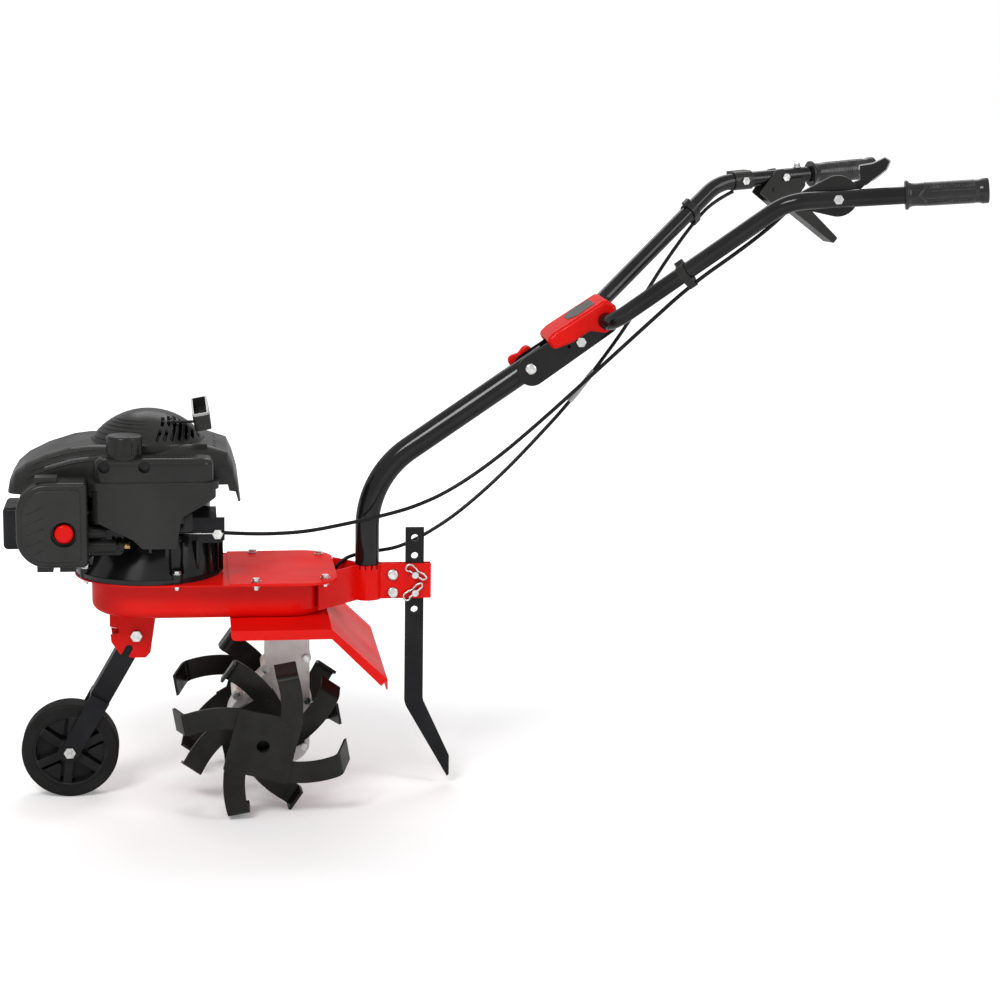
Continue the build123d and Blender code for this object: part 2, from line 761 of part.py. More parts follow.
def cylinder_block():
    body = rod_z(case_x, 0, sump_top, block_top, block_r)
    body += brick(cylinder_front, case_x, -cylinder_half, cylinder_half, cylinder_low, cylinder_high)
    pitch = (cylinder_high - cylinder_low) / fin_count
    for i in range(1, fin_count):
        z = cylinder_low + i * pitch
        slot = brick(
            cylinder_front + 18, case_x - block_r + 6, -cylinder_half, cylinder_half, z - fin_gap / 2, z + 1)
        core = cylinder_half - 16
        body -= slot - brick(cylinder_front, case_x, -core, core, cylinder_low, cylinder_high)
    body += brick(case_x - 32, case_x + 32, tank_inner, 0, tank_low + 24, tank_low + 62)
    body += brick(carb_x - 18, carb_x + 18, inlet_y, 0, sump_top + 1, carb_z + 37)
    for x, y in both_sides([(crank_x - 74, 37), (crank_x + 72, 37)]):
        body += rod_z(x, y, cylinder_high - 28, dome_floor - shroud_wall, 6)
    return body - rod_z(crank_x, 0, sump_top - 1, block_top + 60, shaft_r + run_gap)


def crankshaft():
    return rod_z(crank_x, 0, belt_low - 6, fan_high - 2, shaft_r)


def flywheel():
    body = rod_z(crank_x, 0, flywheel_low, flywheel_high, flywheel_r)
    for i in range(fan_blades):
        blade = brick(30, flywheel_r - 2, -1.5, 1.5, flywheel_high - 1, fan_high)
        body += Pos(crank_x, 0, 0) * Rot(0, 0, i * 360 / fan_blades) * blade
    body += rod_z(crank_x, 0, flywheel_low, fan_high, 24)
    return body - rod_z(crank_x, 0, flywheel_low - 1, fan_high + 1, shaft_r)


# Cross sections of the shroud from nose to tail: X, drop of the ridge below the top, drop of the half width
shroud_sections = [
    (-355.0, 72.0, 26.0), (-351.0, 52.0, 20.0), (-343.0, 39.0, 14.0), (-328.0, 27.0, 8.0),
    (-300.0, 14.0, 3.0), (-264.0, 3.0, 0.0), (-240.0, 0.0, 0.0), (-74.0, 0.0, 0.0),
    (-46.0, 9.0, 2.0), (-38.0, 26.0, 5.0), (-31.0, 51.0, 8.0), (-27.0, 84.0, 10.0)]


def shroud_form(inset):
    front = shroud_sections[0][0]
    rear = shroud_sections[-1][0]
    low = shroud_tail - 40
    faces = []
    for x, fall, narrow in shroud_sections:
        share = (x - front) / (rear - front)
        high = shroud_top - fall
        round_r = min(shroud_round, (high - low) / 2 - 3)
        centre = (x + inset * (1 - 2 * share), 0, (low + high) / 2 - inset)
        plane = Plane(origin=centre, x_dir=(0, 1, 0), z_dir=(1, 0, 0))
        half = shroud_half - narrow - inset
        faces.append(plane * RectangleRounded(2 * half, high - low, round_r - inset / 2))
    return loft(faces, ruled=True)


# Open-bottomed cover with a stepped rear hem and a round seat for the starter dome
def blower_shroud():
    form = shroud_form(0)
    inner = shroud_form(shroud_wall) + Pos(0, 0, -40) * shroud_form(shroud_wall)
    seat_r = dome_r + seat_gap
    seat = rod_z(crank_x, 0, dome_floor - shroud_wall, shroud_top, seat_r + shroud_wall) & form
    body = form - inner + seat
    body -= rod_z(crank_x, 0, dome_floor, dome_top, seat_r)
    body -= rod_z(crank_x, 0, dome_floor - 2 * shroud_wall, dome_top, dome_r - dome_ledge)
    front = shroud_sections[0][0] - 10
    tail = shroud_sections[-1][0] + 10
    below = polygon(
        (front, shroud_tail - 100), (front, shroud_hem), (tail - 83, shroud_hem), (tail - 80, shroud_step),
        (tail - 29, shroud_step), (tail - 27, shroud_step - 9), (tail - 18, shroud_step - 11),
        (tail - 14, shroud_tail + 3), (tail, shroud_tail + 3), (tail, shroud_tail - 100))
    body -= side_plate(below, -2 * shroud_half, 2 * shroud_half)
    for row in vent_rows:
        for y in (-row, row):
            body -= rod_z(vent_x, y, shroud_top - 15, shroud_top + 5, vent_r)
    return body


# Height of the dome's skin at a distance from the crank axis
def crown_height(reach, rim, top):
    rise = top - dome_floor - dome_skirt
    crown_r = (rim ** 2 + rise ** 2) / (2 * rise)
    return top - crown_r + math.sqrt(crown_r ** 2 - reach ** 2)


def dome_form(rim, top):
    floor = dome_floor
    flat = (8.0, crown_height(8.0, rim, top))
    waist = (rim * 0.6, crown_height(rim * 0.6, rim, top))
    shoulder = (rim, floor + dome_skirt)
    sides = Polyline(flat, (0, flat[1]), (0, floor), (rim, floor), shoulder)
    face = make_face(Curve() + [sides, ThreePointArc(shoulder, waist, flat)])
    return revolve(Plane.XZ * face, Axis.Z)


# Curved slots fan out over the rear quarters; the two longest are split by a bridge
def louvre_slots(side):
    zone = (Circle(louvre_out) - Circle(louvre_in)) & Pos(50, -50) * Rectangle(100, 64)
    bridge = Circle(louvre_bridge[1]) - Circle(louvre_bridge[0])
    slots = Sketch()
    for i in range(louvre_count):
        r = louvre_first + i * louvre_pitch
        slot = Pos(*louvre_centre) * (Circle(r + louvre_w / 2) - Circle(r - louvre_w / 2)) & zone
        if i < 2:
            slot -= bridge
        slots += slot
    if side > 0:
        slots = mirror(slots, about=Plane.XZ)
    return flat_plate(slots, dome_floor + dome_skirt + 3, dome_top)


# Recoil starter dome: louvred skin over the rope spool, with swept grooves towards the front
def recoil_cover():
    outer = dome_form(dome_r, dome_top)
    body = outer - dome_form(dome_r - dome_wall, dome_top - dome_wall)
    body += rod_z(0, 0, fan_high + 6, dome_top, spool_r) & outer
    for reach in swoosh_rows:
        groove_at = Plane.XZ * (Pos(reach, crown_height(reach, dome_r, dome_top)) * Circle(swoosh_r))
        body -= Rot(0, 0, 180) * revolve(groove_at, Axis.Z, 80)
    for side in (-1, 1):
        body -= louvre_slots(side)
    body = Pos(crank_x, 0, 0) * body + rod_x(guide_x - 40, guide_x, rope_y, rope_z, 7)
    return body - rod_x(guide_x - 90, guide_x + 1, rope_y, rope_z, rope_r + seat_gap)


def starter_grip():
    face = guide_x + seat_gap
    body = brick(face, face + grip_w, rope_y - grip_l / 2, rope_y + grip_l / 2, grip_low, grip_high)
    body = fillet(body.edges().filter_by(Axis.Z), 5)
    half = grip_l / 2 - 4
    room = brick(face + 3, face + grip_w - 3, rope_y - half, rope_y + half, grip_low + 13, grip_high + 1)
    rope = rod_x(face - rope_stub, face, rope_y, rope_z, rope_r)
    return body - room, rope


# Blow-moulded tank: two halves on a seam flange, arched over the carburettor, cut away behind
def fuel_tank():
    mid_x = (tank_front + tank_rear) / 2
    mid_y = (tank_near + tank_inner) / 2
    long = tank_rear - tank_front
    deep = tank_inner - tank_near
    lower = flat_plate(Pos(mid_x, mid_y) * RectangleRounded(long - 8, deep, 16), tank_low, tank_seam)
    upper = flat_plate(Pos(mid_x, mid_y) * RectangleRounded(long - 14, deep - 6, 18), tank_seam, tank_top)
    upper = fillet(upper.edges().group_by(Axis.Z)[-1], 10)
    seam = Pos(mid_x, mid_y) * RectangleRounded(long, deep, 18)
    body = lower + upper + flat_plate(seam, tank_seam - tank_flange, tank_seam + tank_flange)
    body -= side_plate(polygon(
        (tank_front - 1, tank_low - 1), (tank_front - 1, tank_low + 44), (tank_front + 46, tank_low + 20),
        (tank_front + 60, tank_low + 13), (tank_front + 74, tank_low - 1)), tank_near - 1, tank_inner + 1)
    body -= side_plate(polygon(
        (tank_rear + 1, tank_low - 1), (tank_rear + 1, control_top + 38), (tank_rear - 52, control_top + 8),
        (tank_rear - 60, tank_low - 1)), tank_near - 1, tank_inner + 1)
    for side in (-1, 1):
        pocket_x = cap_x + side * (neck_r + tank_pocket_r - 1)
        body -= rod_y(pocket_x, tank_near - 1, tank_near + 16, tank_top - 11, tank_pocket_r)
    return body + rod_z(cap_x, cap_y, tank_top - 20, cap_low - seat_gap, neck_r + 3)


def fuel_cap():
    body = rod_z(cap_x, cap_y, cap_low, cap_high, cap_r)
    body = fillet(body.edges().group_by(Axis.Z)[-1], 4)
    for i in range(12):
        groove_cut = rod_z(cap_r + 2, 0, cap_low - 1, cap_high - 7, 3.4)
        body -= Pos(cap_x, cap_y, 0) * Rot(0, 0, 30 * i) * groove_cut
    return body


def cleaner_outline(inset=0.0):
    left = cleaner_front + inset
    right = cleaner_rear - inset
    low = cleaner_low + inset
    high = cleaner_top - inset
    face = polygon((left, low), (right, low), (right, high), (left, high))
    corners = face.vertices().sort_by(Axis.X)
    face = fillet(corners[:2], cleaner_round - inset)
    return fillet(face.vertices().sort_by(Axis.X)[-2:], 7.0)


def air_cleaner_cover():
    body = side_plate(cleaner_outline(), cleaner_near, cleaner_split)
    body = fillet(body.faces().sort_by(Axis.Y)[0].edges(), 6)
    panel = side_plate(cleaner_outline(cleaner_border), cleaner_near - cleaner_panel, cleaner_near)
    body += fillet(panel.faces().sort_by(Axis.Y)[0].edges(), 1.5)
    room = cleaner_outline(cleaner_wall)
    body -= side_plate(room, cleaner_near + cleaner_wall + primer_dish, cleaner_split + 1)
    front = cleaner_near - cleaner_panel
    body -= rod_y(primer_x, front - 1, cleaner_near + primer_dish, primer_z, primer_dish_r)
    body -= rod_y(primer_x, front - 1, cleaner_split + 1, primer_z, primer_r + 1.6)
    for i in range(5):
        z = primer_z - 26 + i * 15
        groove_cut = Pos(cleaner_front + 26, front, z) * Rot(0, -24, 0) * Box(26, 2.4, 2.4)
        body -= groove_cut
    for x in (cleaner_front + 38, cleaner_front + 69):
        body += brick(x - 11, x + 11, cleaner_near + 14, cleaner_split, cleaner_low - 8, cleaner_low + 1)
    tab = cleaner_front + 26
    return body + brick(tab, tab + 30, cleaner_near + 12, cleaner_split, cleaner_top - 1, cleaner_top + 7)


def air_cleaner_base():
    body = side_plate(cleaner_outline(), cleaner_split + seat_gap, cleaner_back)
    for x in (cleaner_front + 38, cleaner_front + 69):
        body += brick(x - 8, x + 8, cleaner_split + seat_gap, cleaner_back, cleaner_low - 8, cleaner_low + 1)
    post_end = primer_top + primer_roof + primer_travel + seat_gap
    return body + rod_y(primer_x, post_end, cleaner_split + 1, primer_z, primer_r - primer_wall - run_gap)


def air_filter():
    body = side_plate(cleaner_outline(12), cleaner_near + 14, cleaner_split)
    return body - rod_y(primer_x, cleaner_near, cleaner_split + 1, primer_z, primer_r + 2)


# Rubber cup that slides on the post of the base when it is pressed
def primer_bulb():
    cup = rod_y(primer_x, primer_top, primer_foot, primer_z, primer_r)
    cup = fillet(cup.edges().sort_by(Axis.Y)[0], 5)
    return cup - rod_y(primer_x, primer_top + primer_roof, primer_foot + 1, primer_z, primer_r - primer_wall)


# Carburettor beside the air cleaner and its inlet pipe into the cylinder
def carburettor():
    body = rod_x(cleaner_rear, carb_x - 2, carb_y, carb_z + 12, 9.5)
    body += rod_x(cleaner_rear, carb_x + 12, carb_y, carb_z - 8, 9)
    body += rod_x(carb_x + 12, carb_x + 17, carb_y, carb_z - 8, 5)
    body += brick(carb_x - 9, carb_x + 6, carb_y, inlet_y - 10, carb_z - 17, carb_z + 15)
    return body + rod_y(carb_x, inlet_y - 11, inlet_y, carb_z, 11)


def muffler():
    body = brick(muffler_front, muffler_rear, muffler_near, muffler_far, muffler_low, muffler_high)
    body = fillet(body.edges(), 7)
    for i in range(4):
        z = muffler_low + 14 + i * 11
        body -= brick(muffler_front - 1, muffler_front + 4, muffler_near + 14, muffler_far - 14, z, z + 5)
    middle_x = muffler_rear - 16
    return body + rod_z(middle_x, 26, muffler_high - 1, cylinder_low, 13)


def spark_plug():
    z = (cylinder_low + cylinder_high) / 2
    body = rod_x(cylinder_front - 12, cylinder_front, 0, z, 9)
    return body + rod_x(cylinder_front - 22, cylinder_front - 12, 0, z, 6)


# Folded plate on the crankcase; its outer leg clamps the throttle cable
def control_bracket():
    inner = control_near + control_plate
    front = control_front
    rear = control_rear
    leg = polygon(
        (front, control_top), (rear, control_top), (rear, control_foot + 4), (rear - 6, control_foot),
        (front + 14, control_foot), (front, control_foot + 18))
    body = side_plate(leg - disc(*control_bolt, bolt_r + hole_gap), control_near, inner)
    body += brick(front, rear - 11, control_near, -20, control_top - control_plate, control_top)
    return body - rod_z(case_x, 0, sump_top, block_top, block_r + run_gap)


# V-belt and pulleys; the idler tightens the belt when the clutch lever is squeezed
def pulley(x, y, r, bore):
    low = belt_low - pulley_wall - belt_gap
    high = belt_low + belt_w + pulley_wall + belt_gap
    groove_half = belt_w / 2 + belt_gap
    middle = (low + high) / 2
    profile = polygon(
        (bore, low), (r, low), (r, middle - groove_half), (r - belt_t - belt_gap, middle - groove_half),
        (r - belt_t - belt_gap, middle + groove_half), (r, middle + groove_half), (r, high), (bore, high))
    return Pos(x, y, 0) * revolve(Plane.XZ * profile, Axis.Z)


def drive_belt():
    outer = hull_of(disc(crank_x, 0, engine_pulley_r), disc(worm_x, 0, driven_pulley_r))
    inner = hull_of(disc(crank_x, 0, engine_pulley_r - belt_t), disc(worm_x, 0, driven_pulley_r - belt_t))
    return flat_plate(outer - inner, belt_low, belt_low + belt_w)


def idler_place():
    slope = math.asin((driven_pulley_r - engine_pulley_r) / (worm_x - crank_x))
    edge = engine_pulley_r / math.cos(slope) + (idler_x - crank_x) * math.tan(slope)
    return idler_x, edge + (idler_r + idler_gap) / math.cos(slope)


def idler_arm():
    x, y = idler_place()
    face = hull_of(disc(idler_pivot_x, idler_pivot_y, 9), disc(x, y, 8))
    face -= disc(idler_pivot_x, idler_pivot_y, bolt_r + 1 + run_gap)
    low = deck_floor + sheet + seat_gap
    body = flat_plate(face, low, low + idler_plate)
    return body + rod_z(x, y, low, belt_low + belt_w + 6, idler_pin_r)


def idler_pulley():
    x, y = idler_place()
    body = rod_z(x, y, belt_low - 4, belt_low + belt_w + 4, idler_r)
    return body - rod_z(x, y, deck_floor, deck_top, idler_pin_r + run_gap)


# Handlebar: one bent tube through the head, with knees up to the grips
def bar_points(extra=0.0):
    end = Vector(*grip_end)
    out = (end - Vector(*knee)).normalized() * extra
    far = [end + out, Vector(*knee), Vector(cross.X, cross_half, cross.Z)]
    near = [Vector(p.X, -p.Y, p.Z) for p in reversed(far)]
    return far + near


def bar_route(extra=0.0):
    return FilletPolyline(*bar_points(extra), radius=[knee_bend, cross_bend, cross_bend, knee_bend])


# Plane on a handle tube: X along the tube to the rear, Y up, Z towards the left side
def grip_plane(side, reach):
    end = Vector(grip_end[0], side * grip_end[1], grip_end[2])
    start = Vector(knee[0], side * knee[1], knee[2])
    along = (end - start).normalized()
    outward = Vector(along.Y, -along.X, 0).normalized()
    return Plane(origin=start + along * reach, x_dir=along, z_dir=outward)


def slope_plane(side, share):
    start = Vector(cross.X, side * cross_half, cross.Z)
    end = Vector(knee[0], side * knee[1], knee[2])
    along = (end - start).normalized()
    outward = Vector(along.Y, -along.X, 0).normalized()
    return Plane(origin=start + (end - start) * share, x_dir=along, z_dir=outward)


def handlebar_tube():
    body = tube(bar_route(), bar_r) - tube(bar_route(1), bar_r - bar_wall)
    drill = Cylinder(lever_bolt_r + hole_gap, 4 * bar_r)
    body -= grip_plane(1, lever_reach).location * drill
    body -= grip_plane(1, stop_reach).location * drill
    return body - grip_plane(-1, throttle_reach).location * drill


def grips():
    long = (Vector(*grip_end) - Vector(*knee)).length
    solids = []
    for side in (-1, 1):
        profile = polygon(
            (bar_r + run_gap, 0), (hand_flange_r, 0), (hand_flange_r, 4),
            (hand_grip_r - 1, 9), (hand_grip_r, 30),
            (hand_grip_r - 0.6, hand_grip_l - 16), (hand_grip_r + grip_bead, hand_grip_l - 9),
            (hand_grip_r + grip_bead, hand_grip_l), (0, hand_grip_l), (0, hand_grip_l - grip_cap),
            (bar_r + run_gap, hand_grip_l - grip_cap))
        body = revolve(Plane.XZ * profile, Axis.Z)
        start = grip_plane(side, long - hand_grip_l + grip_cap)
        solids.append(start.location * Rot(0, 90, 0) * body)
    return solids


def head_outline(grow=0.0):
    low = hinge - column_up * head_plate_drop
    high = cross - column_up * head_plate_drop
    return hull_of(disc(low.X, low.Z, head_plate_r + grow), disc(high.X, high.Z, head_plate_r - 2 + grow))


def head_bolt_place():
    return hinge + column_dir * head_bolt_reach - column_up * 9


def head_bracket():
    face = head_outline()
    spot = head_bolt_place()
    face -= disc(hinge.X, hinge.Z, hinge_bolt_r + run_gap)
    face -= disc(cross.X, cross.Z, bar_r + run_gap)
    face -= disc(spot.X, spot.Z, lever_bolt_r + hole_gap)
    face -= disc(spot.X - 17, spot.Z - 7, 2.5)
    inner = column_r + seat_gap
    near = side_plate(face, -inner - head_plate, -inner)
    return near, mirror(near, about=Plane.XZ)


# Moulded cover over the head, open below, with side holes for the handlebar
def head_cover():
    def local(along, up):
        p = hinge + column_dir * along + column_up * up
        return p.X, p.Z

    points = [local(42, 7), local(41, 26), local(57, 29), local(144, 27), local(152, 10), local(140, -16),
              local(118, -16), local(100, 0), local(72, 0)]
    face = fillet(polygon(*points).vertices(), head_cover_corner)
    body = side_plate(face, -head_cover_half, head_cover_half)
    sides = body.faces().filter_by(Axis.Y).sort_by(Axis.Y)
    body = fillet(sides[0].edges() + sides[-1].edges(), head_cover_round)
    half = head_cover_half - head_cover_wall
    room = offset(face, -head_cover_wall)
    hollow = side_plate(room, -half, half)
    drop = column_up * -14
    hollow += side_plate(Pos(drop.X, drop.Z) * room, -half, half)
    slab = column_r + seat_gap + head_plate + seat_gap
    hollow += side_plate(head_outline(seat_gap), -slab, slab)
    hollow += rod_y(hinge.X, -slab, slab, hinge.Z, column_end + 18)
    return body - hollow - rod_y(cross.X, -200, 200, cross.Z, bar_r + seat_gap)


def handlebar_bolts():
    reach = column_r + seat_gap + head_plate
    hinge_bolt = round_bolt(hinge_bolt_r, 2 * reach + knob_t - 4, hinge_head_r, 6)
    solids = [facing_left(hinge.X, -reach, hinge.Z) * hinge_bolt]
    spot = head_bolt_place()
    solids.append(facing_left(spot.X, -reach, spot.Z) * hex_bolt(lever_bolt_r, 2 * reach + 8, 13, 6))
    solids.append(Pos(spot.X, reach, spot.Z) * Rot(-90, 0, 0) * Pos(0, 0, 6) * hex_nut(lever_bolt_r, 13, 6))
    cheek = bar_r + 0.6 + lever_plate
    pivot = grip_plane(1, lever_reach).location
    solids.append(pivot * Pos(0, 0, cheek) * hex_bolt(lever_bolt_r, 2 * cheek + 4, 11, 4))
    stop = grip_plane(1, stop_reach).location
    solids.append(stop * Pos(0, 0, bar_r + 2.5) * hex_bolt(lever_bolt_r, 2 * bar_r + 5, 11, 4))
    throttle = grip_plane(-1, throttle_reach).location
    solids.append(throttle * Pos(0, 0, bar_r) * hex_bolt(lever_bolt_r, 2 * bar_r + 8, 12, 4))
    return solids


# Five-lobed knob on the hinge bolt
def star_knob():
    face = Circle(knob_r * 0.72)
    for i in range(5):
        face += Rot(0, 0, 72 * i) * Pos(knob_r - 6.5, 0) * Circle(6.5)
    body = extrude(face, knob_t)
    body = fillet(body.edges().group_by(Axis.Z)[-1], 2)
    body -= Cylinder(hinge_bolt_r + run_gap, 2 * (knob_t - 3))
    y = column_r + seat_gap + head_plate + seat_gap
    return Pos(hinge.X, y, hinge.Z) * Rot(-90, 0, 0) * body


# Squeeze lever: two cheeks over the tube, a web below it and a long blade
def clutch_lever():
    cheek = polygon(
        (-45, -21), (-15.8, 11.8), (-3, 12.7), (7.8, -3.6), (34, -3), (34, -16), (22, -30), (-17.7, -44.6))
    cheek = fillet(cheek.vertices(), 3) - Circle(lever_bolt_r + run_gap)
    gap = bar_r + 0.6
    body = extrude(Pos(0, 0, gap) * cheek, lever_plate)
    body += extrude(Pos(0, 0, -gap - lever_plate) * cheek, lever_plate)
    blade = polygon((-30, -33), (-17.7, -44.6), (2, -46), (80, -111), (88, -103), (20, -31), (8, -26))
    blade = fillet(blade.vertices(), 3)
    body += extrude(Pos(0, 0, -gap - lever_plate) * blade, 2 * (gap + lever_plate))
    body += Pos(-19.5, -17.3, 0) * Cylinder(3, 2 * (gap + lever_plate) + 6)
    return grip_plane(1, lever_reach).location * body


def cable_stop():
    outer = bar_r + 2.5
    face = hull_of(Circle(outer), Pos(0, -outer - 1) * Rectangle(2 * outer, 10))
    body = Rot(0, 90, 0) * extrude(Rot(0, 0, 90) * face, 15, both=True)
    body -= Rot(0, 90, 0) * Cylinder(bar_r + run_gap, 60)
    body -= Cylinder(lever_bolt_r + hole_gap, 6 * bar_r)
    return grip_plane(1, stop_reach).location * body


def throttle_body():
    face = hull_of(Pos(0, 3) * Circle(throttle_r), Pos(-40, 0) * Circle(14))
    body = extrude(Pos(0, 0, -bar_r - 1 - throttle_t) * face, throttle_t)
    body -= Pos(0, 0, -bar_r - 10) * Cylinder(lever_bolt_r + hole_gap, 21)
    return grip_plane(-1, throttle_reach).location * body


# Flat arm behind the housing that ends in a thumb paddle
def throttle_lever():
    paddle = polygon((31, 20), (31, 42), (50, 44), (66, 51), (74, 46), (68, 34), (57, 26), (39, 14))
    face = hull_of(Circle(12), disc(36, 19, 5)) + fillet(paddle.vertices(), 2.5)
    z = -bar_r - 1 - seat_gap - throttle_t
    return grip_plane(-1, throttle_reach).location * extrude(Pos(0, 0, z) * face, -7)


# Moulded clips: a band round the tube, a tab on top and a loop that holds the cable below
def cable_clips():
    solids = []
    for side, share, route in zip((-1, 1), clip_share, (throttle_route, clutch_route)):
        face = hull_of(Circle(bar_r + clip_wall), disc(0, -hang, cable_r + clip_wall))
        face += Pos(0, bar_r + clip_tab / 2) * Rectangle(clip_tab, clip_tab)
        band = extrude(face - Circle(bar_r + run_gap), clip_w / 2, both=True)
        band = slope_plane(side, share).location * Rot(0, 90, 0) * band
        solids.append(band - tube(cable_path(route), cable_r + run_gap))
    return solids


# Control cables, held all the way: straight runs joined by tangent arcs.
# Their upper points hang a set distance under the handle tubes.
def under_tube(side, share, drop, inward):
    spot = slope_plane(side, share).from_local_coords((0, -drop, side * inward))
    return spot.X, spot.Y, spot.Z


def at_grip(side, reach, along, up, toward_left):
    spot = grip_plane(side, reach).from_local_coords((along, up, toward_left))
    return spot.X, spot.Y, spot.Z


hang = bar_r + 3 + cable_r + 0.5
throttle_route = [
    (control_bolt[0] + 8, control_near - cable_r - seat_gap, control_bolt[1] + 2), (-20, -103, 408),
    (24, -90, 405), (69, -76, 405), (124, -60, 412), (176, -50, 421),
    (224, -45, 433), (276, -42, 456), (340, -42, 500), (406, -47, 558), (478, -64, 629), (546, -104, 704),
    under_tube(-1, clip_share[0], hang, 0), under_tube(-1, 0.72, hang - 1, 4), under_tube(-1, 0.93, 11, 16),
    at_grip(-1, throttle_reach, -56, 0, -bar_r - 1 - throttle_t / 2)]
clutch_route = [
    (pan_rear - 2.5, 20, 316), (pan_rear + 16, 20, 327), (129, 22, clamp_top + 6), (165, 29, clamp_top + 11),
    (212, 27, clamp_top + 18),
    (272, 26, 392), (318, 30, 427), (368, 35, 472), (414, 38, 520), (457, 40, 567), (500, 46, 621),
    (546, 60, 680), (580, 82, 730), (618, 120, 776),
    under_tube(1, clip_share[1], hang, 0), under_tube(1, 0.93, hang, 0),
    at_grip(1, stop_reach, -15.2, -bar_r - cable_r - 0.8, 0)]


def cable_radii(spots):
    radii = []
    for a, b, c in zip(spots, spots[1:], spots[2:]):
        turn = math.radians((b - a).get_angle(c - b))
        radii.append(0.45 * min((b - a).length, (c - b).length) / math.tan(turn / 2))
    return radii


def cable_path(points):
    spots = [Vector(*p) for p in points]
    return FilletPolyline(*spots, radius=cable_radii(spots))


def cable_tube(points):
    route = cable_path(points)
    body = tube(route, cable_r)
    least = min(cable_radii([Vector(*p) for p in points]))
    share = body.volume / (math.pi * cable_r ** 2 * route.length)
    print("cable", round(route.length), "mm, least radius", round(least), "volume", round(share, 4))
    return body


# Fasteners of the chassis
def chassis_bolts():
    solids = []
    for x, y in both_sides(cover_bolts):
        solids.append(Pos(x, y, deck_top + sheet) * flange_bolt(2 * sheet + 8))
    for x, y in engine_bolt_places():
        solids.append(Pos(x, y, boss_top) * flange_bolt(boss_top - deck_top + sheet + 8))
    for x, y in gear_bolt_places():
        solids.append(Pos(x, y, deck_floor + sheet) * hex_bolt(bolt_r, 2 * sheet + case_flange, 10, 4))
    for x, z in lug_places:
        solids.append(facing_left(x, -case_half, z) * hex_bolt(bolt_r, 2 * case_half, 10, 5))
    out = bar_t / 2 + run_gap + clamp_plate
    for z in clamp_bolt_z:
        solids.append(facing_left(clamp_bolt_x, -out, z) * round_bolt(axle_r, 2 * out + 8, 8.5, 5))
    cheek = arm_depth / 2 + seat_gap + bracket_plate
    solids.append(facing_left(arm_pivot_x, -cheek, arm_pivot_z) * hex_bolt(axle_r, 2 * cheek + 9, 15, 6))
    x, z = control_bolt
    solids.append(facing_left(x, control_near, z) * hex_bolt(bolt_r, control_plate + 6, control_bolt_af, 6))
    shoulder = rod_z(0, 0, deck_floor, belt_low - 4, bolt_r)
    shoulder += rod_z(0, 0, deck_floor + sheet, belt_low - 5, bolt_r + 1)
    shoulder += rod_z(0, 0, deck_floor + sheet + 2 * seat_gap + idler_plate, belt_low - 3, bolt_r + 4)
    solids.append(Pos(idler_pivot_x, idler_pivot_y, 0) * shoulder)
    return solids


def chassis_nuts():
    solids = []
    for x, y in both_sides(cover_bolts) + engine_bolt_places():
        solids.append(Pos(x, y, deck_top - sheet) * hex_nut(bolt_r, bolt_af, 5))
    out = bar_t / 2 + run_gap + clamp_plate
    for z in clamp_bolt_z:
        solids.append(Pos(clamp_bolt_x, out, z) * Rot(-90, 0, 0) * Pos(0, 0, 7) * hex_nut(axle_r, 15, 7))
    cheek = arm_depth / 2 + seat_gap + bracket_plate
    far = Pos(arm_pivot_x, cheek, arm_pivot_z) * Rot(-90, 0, 0)
    solids.append(far * Pos(0, 0, 7) * hex_nut(axle_r, 15, 7))
    return solids


def save(name, shape):
    solids = list(shape) if isinstance(shape, (list, tuple)) else [shape]
    moved = [Pos(row_x, 0, 0) * solid for solid in solids]
    export_step(moved[0] if len(moved) == 1 else Compound(children=moved), f"parts/{name}.step")


os.makedirs("parts", exist_ok=True)

save("belt_housing", belt_housing())
save("belt_cover", belt_cover())
save("tine_guard", tine_guard())
save("wheel_bracket", wheel_bracket())
save("wheel_arm", wheel_arm())
save("axle_bolt", axle_bolt())
save("wheel_rim", wheel_rim())
save("tyre", tyre())
save("handle_column", handle_column())
save("column_clamp", column_clamp())
save("drag_bar", drag_bar())
save("drag_bar_pins", drag_bar_pins())
save("gear_case_left", gear_case(-1))
save("gear_case_right", gear_case(1))
save("shaft_bushes", shaft_bushes())
save("worm_shaft", worm_shaft())
save("driven_pulley", pulley(worm_x, 0, driven_pulley_r, worm_shaft_r))
save("worm_wheel", worm_wheel())
save("tine_shaft", tine_shaft())
save("tine_hubs", tine_hubs())
outer_star = tine_star(-1, -1, outer_tail)
inner_star = tine_star(1, -1, inner_tail)
outer_left = place_star(outer_star, outer_phase, -outer_star_y)
inner_left = place_star(inner_star, inner_phase, -inner_star_y)
save("outer_tine_left", outer_left)
save("inner_tine_left", inner_left)
save("outer_tine_right", mirror(outer_left, about=Plane.XZ))
save("inner_tine_right", mirror(inner_left, about=Plane.XZ))
save("engine_sump", engine_sump())
save("cylinder_block", cylinder_block())
save("crankshaft", crankshaft())
save("engine_pulley", pulley(crank_x, 0, engine_pulley_r, shaft_r))
save("flywheel", flywheel())
save("blower_shroud", blower_shroud())
save("recoil_cover", recoil_cover())
save("starter_grip", starter_grip())
save("fuel_tank", fuel_tank())
save("fuel_cap", fuel_cap())
save("air_cleaner_cover", air_cleaner_cover())
save("air_cleaner_base", air_cleaner_base())
save("air_filter", air_filter())
save("primer_bulb", primer_bulb())
save("carburettor", carburettor())
save("muffler", muffler())
save("spark_plug", spark_plug())
save("control_bracket", control_bracket())
save("drive_belt", drive_belt())
save("idler_arm", idler_arm())
save("idler_pulley", idler_pulley())
save("handlebar_tube", handlebar_tube())
save("grips", grips())
save("head_bracket", head_bracket())
save("head_cover", head_cover())
save("handlebar_bolts", handlebar_bolts())
save("star_knob", star_knob())
save("clutch_lever", clutch_lever())
save("cable_stop", cable_stop())
save("throttle_body", throttle_body())
save("throttle_lever", throttle_lever())
